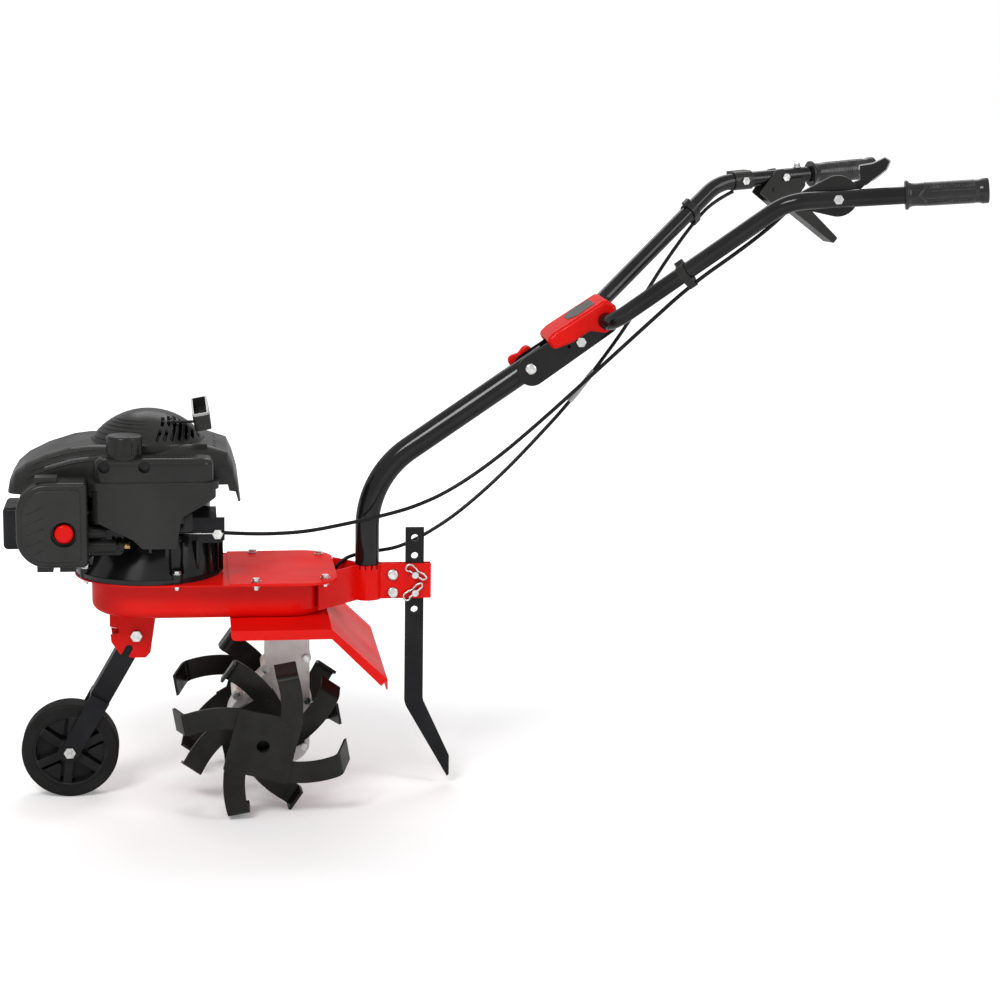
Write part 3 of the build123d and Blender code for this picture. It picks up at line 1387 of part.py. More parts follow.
save("cable_clips", cable_clips())
save("throttle_cable", cable_tube(throttle_route))
save("clutch_cable", cable_tube(clutch_route))
save("chassis_bolts", chassis_bolts())
save("chassis_nuts", chassis_nuts())
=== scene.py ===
import bpy
import bmesh
import math
from mathutils import Euler, Matrix, Vector


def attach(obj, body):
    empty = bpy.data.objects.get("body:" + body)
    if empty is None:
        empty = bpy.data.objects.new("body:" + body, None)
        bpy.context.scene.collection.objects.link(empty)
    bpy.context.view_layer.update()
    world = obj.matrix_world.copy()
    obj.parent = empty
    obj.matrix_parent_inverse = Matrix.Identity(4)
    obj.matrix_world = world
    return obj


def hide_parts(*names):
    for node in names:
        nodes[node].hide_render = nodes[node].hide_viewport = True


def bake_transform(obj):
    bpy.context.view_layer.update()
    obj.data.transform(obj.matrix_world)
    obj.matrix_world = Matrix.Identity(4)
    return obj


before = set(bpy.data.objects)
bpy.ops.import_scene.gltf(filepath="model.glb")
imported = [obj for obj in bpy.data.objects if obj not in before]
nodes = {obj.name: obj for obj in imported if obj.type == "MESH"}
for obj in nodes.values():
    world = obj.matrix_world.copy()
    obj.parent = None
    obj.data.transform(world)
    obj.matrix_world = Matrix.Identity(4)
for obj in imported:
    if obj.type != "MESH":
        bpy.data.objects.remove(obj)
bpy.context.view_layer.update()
print("frame loaded:", len(nodes), "nodes")


# node helpers shared by every finish
def put(tree, kind, values=None, **props):
    node = tree.nodes.new(kind)
    for key, value in props.items():
        setattr(node, key, value)
    for key, value in (values or {}).items():
        node.inputs[key].default_value = value
    return node


def mixColour(tree, factor, first, second):
    node = put(tree, "ShaderNodeMix", data_type="RGBA")
    tree.links.new(factor, node.inputs[0])
    for socket, value in ((node.inputs[6], first), (node.inputs[7], second)):
        if isinstance(value, tuple):
            socket.default_value = (*value, 1.0)
        else:
            tree.links.new(value, socket)
    return node.outputs[2]


def spread(tree, value, fromLow, fromHigh, low, high):
    node = put(tree, "ShaderNodeMapRange", {1: fromLow, 2: fromHigh, 3: low, 4: high})
    tree.links.new(value, node.inputs[0])
    return node.outputs[0]


def newGroup(name, inputs, output):
    group = bpy.data.node_groups.new(name, "ShaderNodeTree")
    for label, value in inputs.items():
        socket = group.interface.new_socket(label, in_out="INPUT", socket_type="NodeSocketFloat")
        socket.default_value = value
    group.interface.new_socket(output, in_out="OUTPUT", socket_type="NodeSocketFloat")
    return group, group.nodes.new("NodeGroupInput"), group.nodes.new("NodeGroupOutput")


# cloudy or fine speckle in object space, 0 to 1
def speckleGroup():
    group, given, result = newGroup("surfaceSpeckle", {"Scale": 60.0, "Detail": 3.0}, "Mask")
    coords = put(group, "ShaderNodeTexCoord")
    noise = put(group, "ShaderNodeTexNoise")
    group.links.new(coords.outputs["Object"], noise.inputs["Vector"])
    group.links.new(given.outputs["Scale"], noise.inputs["Scale"])
    group.links.new(given.outputs["Detail"], noise.inputs["Detail"])
    mask = put(group, "ShaderNodeMapRange", {1: 0.25, 2: 0.75, 3: 0.0, 4: 1.0},
               interpolation_type="SMOOTHSTEP")
    group.links.new(noise.outputs[0], mask.inputs[0])
    group.links.new(mask.outputs[0], result.inputs[0])
    return group


# bright line where two faces meet, broken up by speckle (dark on the bolts): edge wear on the cast and turned
# metals, painted edge highlight on paint, plastic and rubber, painted shade on the bolts
def edgeGroup():
    group, given, result = newGroup("edgeWearAndHighlight", {"Width": 0.0012, "Amount": 0.5}, "Mask")
    geometry = put(group, "ShaderNodeNewGeometry")
    soft = put(group, "ShaderNodeBevel", samples=4)
    group.links.new(given.outputs["Width"], soft.inputs["Radius"])
    dot = put(group, "ShaderNodeVectorMath", operation="DOT_PRODUCT")
    group.links.new(geometry.outputs["Normal"], dot.inputs[0])
    group.links.new(soft.outputs[0], dot.inputs[1])
    edge = spread(group, dot.outputs["Value"], 0.995, 0.85, 0.0, 1.0)
    breakup = put(group, "ShaderNodeGroup", {"Scale": 90.0, "Detail": 4.0}, node_tree=speckle)
    product = put(group, "ShaderNodeMath", operation="MULTIPLY")
    group.links.new(edge, product.inputs[0])
    group.links.new(breakup.outputs[0], product.inputs[1])
    amount = put(group, "ShaderNodeMath", operation="MULTIPLY")
    group.links.new(product.outputs[0], amount.inputs[0])
    group.links.new(given.outputs["Amount"], amount.inputs[1])
    group.links.new(amount.outputs[0], result.inputs[0])
    return group


# thin dust on faces that look up
def dustGroup():
    group, given, result = newGroup("dustFilm", {"Amount": 0.2}, "Mask")
    geometry = put(group, "ShaderNodeNewGeometry")
    split = put(group, "ShaderNodeSeparateXYZ")
    group.links.new(geometry.outputs["Normal"], split.inputs[0])
    upward = spread(group, split.outputs["Z"], 0.2, 1.0, 0.0, 1.0)
    breakup = put(group, "ShaderNodeGroup", {"Scale": 22.0, "Detail": 6.0}, node_tree=speckle)
    product = put(group, "ShaderNodeMath", operation="MULTIPLY")
    group.links.new(upward, product.inputs[0])
    group.links.new(breakup.outputs[0], product.inputs[1])
    amount = put(group, "ShaderNodeMath", operation="MULTIPLY")
    group.links.new(product.outputs[0], amount.inputs[0])
    group.links.new(given.outputs["Amount"], amount.inputs[1])
    group.links.new(amount.outputs[0], result.inputs[0])
    return group


speckle = speckleGroup()
wearAndHighlightEdges = edgeGroup()
dust = dustGroup()
dustColour = (0.42, 0.40, 0.38)


# one finish: tone drift, edge colour (edge wear on the cast and turned metals, painted shade on the bolts,
# painted edge highlight elsewhere), dust, uneven gloss and a fine surface relief
def finish(look):
    mat = bpy.data.materials.new(look["name"])
    mat.use_nodes = True
    tree = mat.node_tree
    shader = tree.nodes["Principled BSDF"]
    shader.inputs["Metallic"].default_value = look.get("metal", 0.0)
    shader.inputs["Coat Roughness"].default_value = look.get("coatRough", 0.08)
    shader.inputs["Specular IOR Level"].default_value = look.get("specular", 0.5)
    tone = put(tree, "ShaderNodeGroup", {"Scale": look["toneScale"], "Detail": 4.0}, node_tree=speckle)
    colour = mixColour(tree, tone.outputs[0], look["colour"], look["drift"])
    edgeValues = {"Width": look.get("edgeWidth", 0.0012), "Amount": look["edge"]}
    edge = put(tree, "ShaderNodeGroup", edgeValues, node_tree=wearAndHighlightEdges)
    colour = mixColour(tree, edge.outputs[0], colour, look["edgeColour"])
    film = put(tree, "ShaderNodeGroup", {"Amount": look["dust"]}, node_tree=dust)
    colour = mixColour(tree, film.outputs[0], colour, dustColour)
    tree.links.new(colour, shader.inputs["Base Color"])
    gloss = put(tree, "ShaderNodeGroup", {"Scale": look["glossScale"], "Detail": 5.0}, node_tree=speckle)
    low, high = look["rough"]
    tree.links.new(spread(tree, gloss.outputs[0], 0.0, 1.0, low, high), shader.inputs["Roughness"])
    if "coat" in look:
        low, high = look["coat"]
        tree.links.new(spread(tree, gloss.outputs[0], 0.0, 1.0, high, low), shader.inputs["Coat Weight"])
    relief = put(tree, "ShaderNodeGroup", {"Scale": look["reliefScale"], "Detail": 3.0}, node_tree=speckle)
    bump = put(tree, "ShaderNodeBump", {"Strength": look["relief"], "Distance": look["reliefDepth"]})
    tree.links.new(relief.outputs[0], bump.inputs["Height"])
    tree.links.new(bump.outputs[0], shader.inputs["Normal"])
    return mat


# edgeColour: on castMetal, turnedSteel, grainIron and gearBronze the paler edge is edge wear, on zincPlate
# the darker edge is painted shade, on every other finish the paler edge is painted edge highlight
redPaint = dict(
    name="redPaint", colour=(0.78, 0.007, 0.004), drift=(0.69, 0.006, 0.004), toneScale=9.0,
    edge=0.25, edgeColour=(0.86, 0.04, 0.03), dust=0.0, rough=(0.30, 0.42), glossScale=14.0,
    reliefScale=260.0, relief=0.10, reliefDepth=0.0008, specular=0.0, coat=(0.16, 0.26), coatRough=0.18)
blackPaint = dict(
    name="blackPaint", colour=(0.0055, 0.0055, 0.006), drift=(0.0085, 0.0085, 0.009), toneScale=12.0,
    edge=0.25, edgeColour=(0.03, 0.03, 0.03), dust=0.0, rough=(0.14, 0.24), glossScale=18.0,
    reliefScale=300.0, relief=0.04, reliefDepth=0.0003, specular=0.0, coat=(0.36, 0.50), coatRough=0.10)
tineSteel = dict(
    name="tineSteel", colour=(0.009, 0.0088, 0.0078), drift=(0.017, 0.0164, 0.014), toneScale=16.0,
    edge=0.40, edgeColour=(0.07, 0.07, 0.065), dust=0.01, rough=(0.24, 0.42), glossScale=30.0,
    reliefScale=220.0, relief=0.16, reliefDepth=0.0008, specular=0.0, coat=(0.24, 0.40), coatRough=0.24)
barSteel = dict(
    name="barSteel", colour=(0.009, 0.0095, 0.011), drift=(0.014, 0.0145, 0.016), toneScale=14.0,
    edge=0.35, edgeColour=(0.06, 0.06, 0.06), dust=0.01, rough=(0.34, 0.50), glossScale=24.0,
    reliefScale=260.0, relief=0.14, reliefDepth=0.0007, specular=0.0, coat=(0.18, 0.30), coatRough=0.32)
coverPlastic = dict(
    name="coverPlastic", colour=(0.0165, 0.0165, 0.016), drift=(0.0235, 0.0235, 0.0225), toneScale=8.0,
    edge=0.55, edgeColour=(0.10, 0.10, 0.098), dust=0.01, rough=(0.34, 0.46), glossScale=20.0,
    reliefScale=900.0, relief=0.22, reliefDepth=0.0004, specular=0.0, coat=(0.28, 0.42), coatRough=0.26)
tankPlastic = dict(
    name="tankPlastic", colour=(0.0145, 0.0145, 0.014), drift=(0.0205, 0.0205, 0.0195), toneScale=7.0,
    edge=0.50, edgeColour=(0.09, 0.09, 0.088), dust=0.01, rough=(0.26, 0.40), glossScale=16.0,
    reliefScale=700.0, relief=0.18, reliefDepth=0.0004, specular=0.0, coat=(0.30, 0.44), coatRough=0.22)
sumpPaint = dict(
    name="sumpPaint", colour=(0.005, 0.005, 0.0055), drift=(0.0085, 0.0085, 0.009), toneScale=10.0,
    edge=0.25, edgeColour=(0.03, 0.03, 0.03), dust=0.0, rough=(0.16, 0.30), glossScale=16.0,
    reliefScale=200.0, relief=0.16, reliefDepth=0.0008, specular=0.0, coat=(0.36, 0.52), coatRough=0.16)
castMetal = dict(
    name="castMetal", colour=(0.66, 0.65, 0.63), drift=(0.54, 0.53, 0.52), toneScale=20.0,
    edge=0.35, edgeColour=(0.68, 0.68, 0.67), dust=0.04, rough=(0.40, 0.58), glossScale=40.0,
    reliefScale=420.0, relief=0.35, reliefDepth=0.0006, metal=0.75)
# darker edgeColour on the bolts is painted shade along their edges
zincPlate = dict(
    name="zincPlate", colour=(0.66, 0.66, 0.64), drift=(0.40, 0.40, 0.40), toneScale=190.0,
    edge=0.9, edgeColour=(0.20, 0.20, 0.20), edgeWidth=0.0017, dust=0.05, rough=(0.20, 0.38),
    glossScale=160.0, reliefScale=600.0, relief=0.12, reliefDepth=0.0003, metal=1.0)
turnedSteel = dict(
    name="turnedSteel", colour=(0.46, 0.46, 0.47), drift=(0.36, 0.36, 0.37), toneScale=40.0,
    edge=0.4, edgeColour=(0.66, 0.66, 0.66), dust=0.05, rough=(0.25, 0.42), glossScale=80.0,
    reliefScale=500.0, relief=0.15, reliefDepth=0.0004, metal=1.0)
grainIron = dict(
    name="grainIron", colour=(0.16, 0.16, 0.165), drift=(0.11, 0.11, 0.115), toneScale=30.0,
    edge=0.4, edgeColour=(0.34, 0.34, 0.34), dust=0.08, rough=(0.42, 0.6), glossScale=60.0,
    reliefScale=380.0, relief=0.35, reliefDepth=0.0006, metal=0.8)
gearBronze = dict(
    name="gearBronze", colour=(0.55, 0.36, 0.14), drift=(0.45, 0.28, 0.11), toneScale=40.0,
    edge=0.4, edgeColour=(0.72, 0.52, 0.26), dust=0.05, rough=(0.28, 0.42), glossScale=60.0,
    reliefScale=500.0, relief=0.15, reliefDepth=0.0004, metal=1.0)
softRubber = dict(
    name="softRubber", colour=(0.010, 0.010, 0.010), drift=(0.015, 0.015, 0.015), toneScale=30.0,
    edge=0.8, edgeColour=(0.15, 0.15, 0.15), dust=0.01, rough=(0.48, 0.62), glossScale=40.0,
    reliefScale=1200.0, relief=0.20, reliefDepth=0.0003, specular=0.0, coat=(0.46, 0.64), coatRough=0.22)
tyreRubber = dict(
    name="tyreRubber", colour=(0.014, 0.014, 0.0138), drift=(0.019, 0.019, 0.0185), toneScale=24.0,
    edge=0.25, edgeColour=(0.03, 0.03, 0.03), dust=0.01, rough=(0.50, 0.66), glossScale=30.0,
    reliefScale=800.0, relief=0.30, reliefDepth=0.0004, specular=0.0, coat=(0.06, 0.14), coatRough=0.45)
wheelPlastic = dict(
    name="wheelPlastic", colour=(0.008, 0.008, 0.0085), drift=(0.012, 0.012, 0.0125), toneScale=18.0,
    edge=0.60, edgeColour=(0.11, 0.11, 0.105), dust=0.01, rough=(0.30, 0.44), glossScale=24.0,
    reliefScale=900.0, relief=0.18, reliefDepth=0.0003, specular=0.0, coat=(0.20, 0.30), coatRough=0.28)
redPlastic = dict(
    name="redPlastic", colour=(0.74, 0.008, 0.005), drift=(0.66, 0.006, 0.004), toneScale=10.0,
    edge=0.22, edgeColour=(0.76, 0.04, 0.03), dust=0.0, rough=(0.28, 0.40), glossScale=20.0,
    reliefScale=800.0, relief=0.12, reliefDepth=0.0003, specular=0.0, coat=(0.16, 0.24), coatRough=0.16)
# very pale, wide edge colour: painted highlight along the lever's blade edge
leverPaint = dict(
    name="leverPaint", colour=(0.010, 0.010, 0.0105), drift=(0.015, 0.015, 0.015), toneScale=20.0,
    edge=1.0, edgeColour=(0.52, 0.52, 0.50), edgeWidth=0.0026, dust=0.0, rough=(0.26, 0.40), glossScale=24.0,
    reliefScale=400.0, relief=0.08, reliefDepth=0.0004, specular=0.0, coat=(0.30, 0.42), coatRough=0.16)
cableSheath = dict(
    name="cableSheath", colour=(0.007, 0.007, 0.0075), drift=(0.009, 0.009, 0.009), toneScale=30.0,
    edge=0.0, edgeColour=(0.05, 0.05, 0.05), dust=0.0, rough=(0.34, 0.46), glossScale=40.0,
    reliefScale=500.0, relief=0.10, reliefDepth=0.0003, specular=0.0, coat=(0.18, 0.28), coatRough=0.25)
greyPlastic = dict(
    name="greyPlastic", colour=(0.13, 0.13, 0.13), drift=(0.10, 0.10, 0.10), toneScale=40.0,
    edge=0.2, edgeColour=(0.26, 0.26, 0.26), dust=0.04, rough=(0.36, 0.50), glossScale=60.0,
    reliefScale=900.0, relief=0.15, reliefDepth=0.0003, specular=0.0, coat=(0.14, 0.22), coatRough=0.30)
# pale grey: the adjuster sleeve's own colour, and painted highlight where it lines the lever's blade edge and
# the starter handle's rim
paleTrim = dict(
    name="paleTrim", colour=(0.40, 0.40, 0.39), drift=(0.33, 0.33, 0.32), toneScale=50.0,
    edge=0.2, edgeColour=(0.52, 0.52, 0.51), dust=0.03, rough=(0.30, 0.44), glossScale=60.0,
    reliefScale=900.0, relief=0.12, reliefDepth=0.0003)
filterFoam = dict(
    name="filterFoam", colour=(0.10, 0.10, 0.10), drift=(0.05, 0.05, 0.05), toneScale=300.0,
    edge=0.1, edgeColour=(0.14, 0.14, 0.14), dust=0.05, rough=(0.85, 0.95), glossScale=60.0,
    reliefScale=500.0, relief=0.7, reliefDepth=0.0015)

finishes = [
    (redPaint, "belt_housing belt_cover tine_guard wheel_bracket column_clamp"),
    (blackPaint, "handle_column handlebar_tube head_bracket"),
    (tineSteel, "outer_tine_left inner_tine_left outer_tine_right inner_tine_right tine_hubs"),
    (barSteel, "drag_bar wheel_arm muffler control_bracket tine_shaft"),
    (coverPlastic, "blower_shroud recoil_cover starter_grip air_cleaner_cover air_cleaner_base "
                   "clutch_lever cable_stop cable_clips"),
    (leverPaint, "throttle_lever"),
    (tankPlastic, "fuel_tank fuel_cap carburettor throttle_body"),
    (sumpPaint, "engine_sump cylinder_block"),
    (castMetal, "gear_case_left gear_case_right"),
    (zincPlate, "axle_bolt drag_bar_pins handlebar_bolts chassis_bolts chassis_nuts"),
    (turnedSteel, "worm_shaft crankshaft driven_pulley engine_pulley idler_arm idler_pulley spark_plug"),
    (grainIron, "flywheel"),
    (gearBronze, "worm_wheel shaft_bushes"),
    (softRubber, "grips drive_belt"),
    (cableSheath, "throttle_cable clutch_cable"),
    (greyPlastic, ""),
    (paleTrim, ""),
    (tyreRubber, "tyre"),
    (wheelPlastic, "wheel_rim"),
    (redPlastic, "head_cover star_knob primer_bulb"),
    (filterFoam, "air_filter"),
]
madeFinish = {}
for look, names in finishes:
    mat = finish(look)
    madeFinish[look["name"]] = mat
    for name in names.split():
        nodes[name].data.materials.clear()
        nodes[name].data.materials.append(mat)
print("finishes on", sum(len(names.split()) for look, names in finishes), "nodes")


# piece helpers; shapes are drawn in millimetres and seated in metres
def lathe(profile, steps):
    bm = bmesh.new()
    verts = [bm.verts.new((r, 0.0, z)) for r, z in profile]
    edges = [bm.edges.new(pair) for pair in zip(verts, verts[1:])]
    bmesh.ops.spin(bm, geom=verts + edges, cent=(0, 0, 0), axis=(0, 0, 1), angle=2 * math.pi,
                   steps=steps, use_merge=True)
    bmesh.ops.remove_doubles(bm, verts=bm.verts, dist=1e-6)
    bmesh.ops.recalc_face_normals(bm, faces=bm.faces)
    return bm


def soften(bm, edges, offset, segments=2):
    bmesh.ops.bevel(bm, geom=edges, offset=offset, affect="EDGES", segments=segments, profile=0.5,
                    material=-1)


def shift(bm, vec):
    bmesh.ops.translate(bm, verts=bm.verts, vec=vec)


def toMetres(bm):
    bmesh.ops.scale(bm, verts=bm.verts, vec=(0.001, 0.001, 0.001))


# matrix that lays local Z along one direction and local X towards another
def seat(origin, along, towards):
    z = Vector(along).normalized()
    x = (Vector(towards) - z * z.dot(Vector(towards))).normalized()
    y = z.cross(x)
    turn = Matrix((x, y, z)).transposed().to_4x4()
    return Matrix.Translation(origin) @ turn


def settle(bm, origin, along, towards):
    toMetres(bm)
    bmesh.ops.transform(bm, matrix=seat(origin, along, towards), verts=bm.verts)


# pulls a flat face up into a slab and gives the vertices of its top
def raiseFace(bm, face, height):
    raised = bmesh.ops.extrude_face_region(bm, geom=[face])["geom"]
    top = [v for v in raised if isinstance(v, bmesh.types.BMVert)]
    bmesh.ops.translate(bm, verts=top, vec=(0, 0, height))
    return top


# block whose edges along one axis (0, 1 or 2) are rounded
def roundedBlock(size, axis, corner):
    bm = bmesh.new()
    bmesh.ops.create_cube(bm, size=1.0)
    bmesh.ops.scale(bm, verts=bm.verts, vec=size)
    posts = [e for e in bm.edges if abs(e.verts[0].co[axis] - e.verts[1].co[axis]) > 1]
    soften(bm, posts, corner, 4)
    return bm


def hexBlock(radius, depth):
    bm = bmesh.new()
    bmesh.ops.create_cone(bm, cap_ends=True, segments=6, radius1=radius, radius2=radius, depth=depth)
    soften(bm, bm.edges[:], 0.5)
    return bm


def spanOf(low, high):
    size = [h - l for l, h in zip(low, high)]
    middle = [(h + l) / 2 for l, h in zip(low, high)]
    return size, middle


def mergeInto(target, source, slot=None):
    if slot is not None:
        for face in source.faces:
            face.material_index = slot
    mesh = bpy.data.meshes.new("part")
    source.to_mesh(mesh)
    source.free()
    target.from_mesh(mesh)
    bpy.data.meshes.remove(mesh)


def addPiece(name, bm, looks, body, sharp=35.0):
    mesh = bpy.data.meshes.new(name)
    bm.to_mesh(mesh)
    bm.free()
    mesh.shade_smooth()
    mesh.set_sharp_from_angle(angle=math.radians(sharp))
    for look in looks.split():
        mesh.materials.append(madeFinish[look])
    piece = bpy.data.objects.new(name, mesh)
    bpy.context.scene.collection.objects.link(piece)
    if body:
        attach(piece, body)
    return piece


# smooth round wire on a NURBS line, or the bare line for a radius of 0
def splineMesh(points, radius, widths=None):
    curve = bpy.data.curves.new("route", "CURVE")
    curve.dimensions = "3D"
    spline = curve.splines.new("NURBS")
    spline.points.add(len(points) - 1)
    for i, point in enumerate(points):
        spline.points[i].co = (*point, 1.0)
        spline.points[i].radius = widths[i] if widths else 1.0
    spline.order_u = 3
    spline.use_endpoint_u = True
    curve.resolution_u = 10
    curve.bevel_depth = radius
    curve.bevel_resolution = 3
    curve.use_fill_caps = radius > 0
    holder = bpy.data.objects.new("route", curve)
    mesh = bpy.data.meshes.new_from_object(holder)
    bpy.data.objects.remove(holder)
    bpy.data.curves.remove(curve)
    return mesh


def addWires(name, lines, radius, look, body, widths=None):
    bm = bmesh.new()
    for line in lines:
        bm.from_mesh(splineMesh(line, radius, widths))
    addPiece(name, bm, look, body, 60.0)


# control cables in metres, bending where the handlebar folds
throttleCable = dict(
    name="throttleCable", node="throttle_cable", radius=0.0028,
    start=(0.02, -0.042, 0.49), end=(0.2928, -0.1449, 0.7664), route=[
        (-0.3610, -0.1073, 0.4110), (-0.3280, -0.1030, 0.4080), (-0.2840, -0.0900, 0.4050),
        (-0.2390, -0.0760, 0.4050), (-0.1840, -0.0600, 0.4120), (-0.1320, -0.0500, 0.4210),
        (-0.0840, -0.0450, 0.4330), (-0.0320, -0.0420, 0.4560), (0.0320, -0.0420, 0.5000),
        (0.0980, -0.0470, 0.5580), (0.1700, -0.0640, 0.6290), (0.2380, -0.1040, 0.7040),
        (0.2928, -0.1449, 0.7664), (0.3572, -0.1797, 0.8204), (0.4057, -0.1954, 0.8642),
        (0.4245, -0.1970, 0.8870)])
clutchCable = dict(
    name="clutchCable", node="clutch_cable", radius=0.0028,
    start=(0.01, 0.03, 0.427), end=(0.272, 0.082, 0.730), route=[
        (-0.2155, 0.0200, 0.3160), (-0.1970, 0.0200, 0.3270), (-0.1790, 0.0220, 0.3460),
        (-0.1430, 0.0290, 0.3510), (-0.0960, 0.0270, 0.3580), (-0.0360, 0.0260, 0.3920),
        (0.0100, 0.0300, 0.4270), (0.0600, 0.0350, 0.4720), (0.1060, 0.0380, 0.5200),
        (0.1490, 0.0400, 0.5670), (0.1920, 0.0460, 0.6210), (0.2380, 0.0600, 0.6800),
        (0.2720, 0.0820, 0.7300), (0.3100, 0.1200, 0.7760), (0.3675, 0.1907, 0.8297),
        (0.4011, 0.2114, 0.8582), (0.4323, 0.2209, 0.8722)])
adjuster = dict(radius=0.0043, fromX=0.150, toX=0.190, taper=0.8)    # grey sleeve on the clutch cable


def makeCable(cable, sleeve=None):
    bm = bmesh.new()
    bm.from_mesh(splineMesh(cable["route"], cable["radius"]))
    looks = "cableSheath"
    if sleeve:
        line = [v.co.copy() for v in splineMesh(cable["route"], 0.0).vertices]
        held = [p for p in line if sleeve["fromX"] <= p.x <= sleeve["toX"]]
        widths = [sleeve["taper"]] + [1.0] * (len(held) - 2) + [sleeve["taper"]]
        first = len(bm.faces)
        bm.from_mesh(splineMesh(held, sleeve["radius"], widths))
        bm.faces.ensure_lookup_table()
        for face in bm.faces[first:]:
            face.material_index = 1
        looks += " paleTrim"
    piece = addPiece(cable["name"], bm, looks, None, 60.0)
    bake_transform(piece)
    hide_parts(cable["node"])


makeCable(throttleCable)
makeCable(clutchCable, adjuster)
print("cables laid")

# hand grips: flange, ribbed barrel, arrow panel with two rows of dots, end bead
handGrip = dict(
    origin=(0.56111, 0.25070, 0.89850), along=(0.971176, 0.224983, 0.078744),
    bore=12.05, length=112.0, cap=4.0, barrel=15.9, steps=56,
    flange=[(19.2, 0), (20.0, 0.8), (20.0, 3.2), (19.3, 4.2), (17.0, 6.0), (15.7, 9.5), (15.4, 16.0)],
    ribStart=23.0, ribLow=26.0, ribHigh=94.0, ribPitch=3.4, ribLift=0.55, ribFoot=(0.5, 1.7, 2.2),
    endBead=[(15.7, 98.0), (16.4, 101.5), (17.1, 103.0), (17.3, 104.5), (17.3, 110.5), (16.6, 112.0),
             (0, 112.0)],
    dotRow=10.8, dotStart=29, dotPitch=4.8, dotCount=14, dotR=1.15)
gripPads = [    # flat outlines in (along, around), foot and top above the barrel, bend lines
    dict(outline=[(17.5, 0), (26, -9), (95, -9), (97, -7), (97, 7), (95, 9), (26, 9)],
         foot=-0.6, top=0.9, bends=[-9, -6, -3, 0, 3, 6, 9]),
    dict(outline=[(27, -1.5), (29, -4.6), (92, -4.6), (95, -2.5), (95, 2.5), (92, 4.6), (29, 4.6), (27, 1.5)],
         foot=0.0, top=2.1, bends=[-3, 0, 3]),
    dict(outline=[(18.5, 0), (26.5, -8.4), (28.3, -8.4), (21.2, 0), (28.3, 8.4), (26.5, 8.4)],
         foot=0.0, top=1.9, bends=[-6, -3, 0, 3, 6]),
]


# one flat pad wrapped on the barrel
def wrapped(pad, barrel):
    bm = bmesh.new()
    bm.faces.new([bm.verts.new((z, t, 0.0)) for z, t in pad["outline"]])
    for bend in pad["bends"]:
        bmesh.ops.bisect_plane(bm, geom=bm.verts[:] + bm.edges[:] + bm.faces[:], dist=1e-5,
                               plane_co=(0, bend, 0), plane_no=(0, 1, 0))
    foot = bm.verts[:]
    raised = bmesh.ops.extrude_face_region(bm, geom=bm.faces[:])
    top = [v for v in raised["geom"] if isinstance(v, bmesh.types.BMVert)]
    for verts, r in ((foot, barrel + pad["foot"]), (top, barrel + pad["top"])):
        for v in verts:
            z, t = v.co.x, v.co.y
            v.co = (r * math.cos(t / barrel), r * math.sin(t / barrel), z)
    bmesh.ops.recalc_face_normals(bm, faces=bm.faces)
    return bm


def gripMesh(side):
    g = handGrip
    barrel = g["barrel"]
    crest = barrel + g["ribLift"]
    bottom = g["length"] - g["cap"]
    profile = [(0, bottom), (g["bore"], bottom), (g["bore"], 0)] + g["flange"] + [(barrel, g["ribStart"])]
    z = g["ribLow"]
    while z < g["ribHigh"]:
        rise, fall, end = g["ribFoot"]
        profile += [(barrel, z), (crest, z + rise), (crest, z + fall), (barrel, z + end)]
        z += g["ribPitch"]
    bm = lathe(profile + g["endBead"], g["steps"])
    for pad in gripPads:
        mergeInto(bm, wrapped(pad, barrel))
    for row in (-g["dotRow"], g["dotRow"]):
        angle = row / barrel
        for i in range(g["dotCount"]):
            dot = bmesh.new()
            bmesh.ops.create_icosphere(dot, subdivisions=1, radius=g["dotR"])
            shift(dot, (crest * math.cos(angle), crest * math.sin(angle), g["dotStart"] + i * g["dotPitch"]))
            mergeInto(bm, dot)
    x, y, z = g["origin"]
    along = g["along"]
    settle(bm, (x, side * y, z), (along[0], side * along[1], along[2]), (0, side, 0))
    return bm


gripPair = gripMesh(-1)
mergeInto(gripPair, gripMesh(1))
gripPiece = addPiece("handGrips", gripPair, "softRubber", "handlebar", 40.0)
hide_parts("grips")
print("grips made")

# moulded wheel: deep dish with six flush spokes on both faces and a raised pad in every other gap
moulding = dict(
    centre=(-0.584, 0.0, 0.070), r=54.0, lip=49.5, half=19.0, dish=3.0, hub=17.0, hubHalf=21.0, bore=5.05,
    edge=1.0, steps=72, turn=24.0, sink=1.0,
    spokes=6, spokeW=12.0, spokeHalf=18.6, spokeSoft=0.9, spokeLap=3.0,
    padHalf=15.0, padGap=5.0, padSoft=4.0, padLap=0.6, padEdge=0.8, padArc=5, padRound=6)


# pad between two spokes, its sides parallel to them, with a round inner corner
def wheelPad():
    m = moulding
    lean = math.pi / m["spokes"]
    clear = m["spokeW"] / 2 + m["padGap"]
    rim = m["lip"] + m["padLap"]
    reach = lean - math.asin(clear / rim)
    middle = (clear + m["padSoft"]) / math.sin(lean)
    outline = []
    for k in range(2 * m["padArc"] + 1):
        a = reach * (k / m["padArc"] - 1)
        outline.append((rim * math.cos(a), rim * math.sin(a)))
    for k in range(m["padRound"] + 1):
        a = math.pi / 2 + lean + (math.pi - 2 * lean) * k / m["padRound"]
        outline.append((middle + m["padSoft"] * math.cos(a), m["padSoft"] * math.sin(a)))
    pad = bmesh.new()
    foot = m["dish"] - m["sink"]
    base = pad.faces.new([pad.verts.new((x, y, foot)) for x, y in outline])
    top = raiseFace(pad, base, m["padHalf"] - foot)
    soften(pad, [e for e in pad.edges if all(v in top for v in e.verts)], m["padEdge"])
    bmesh.ops.recalc_face_normals(pad, faces=pad.faces[:])
    return pad


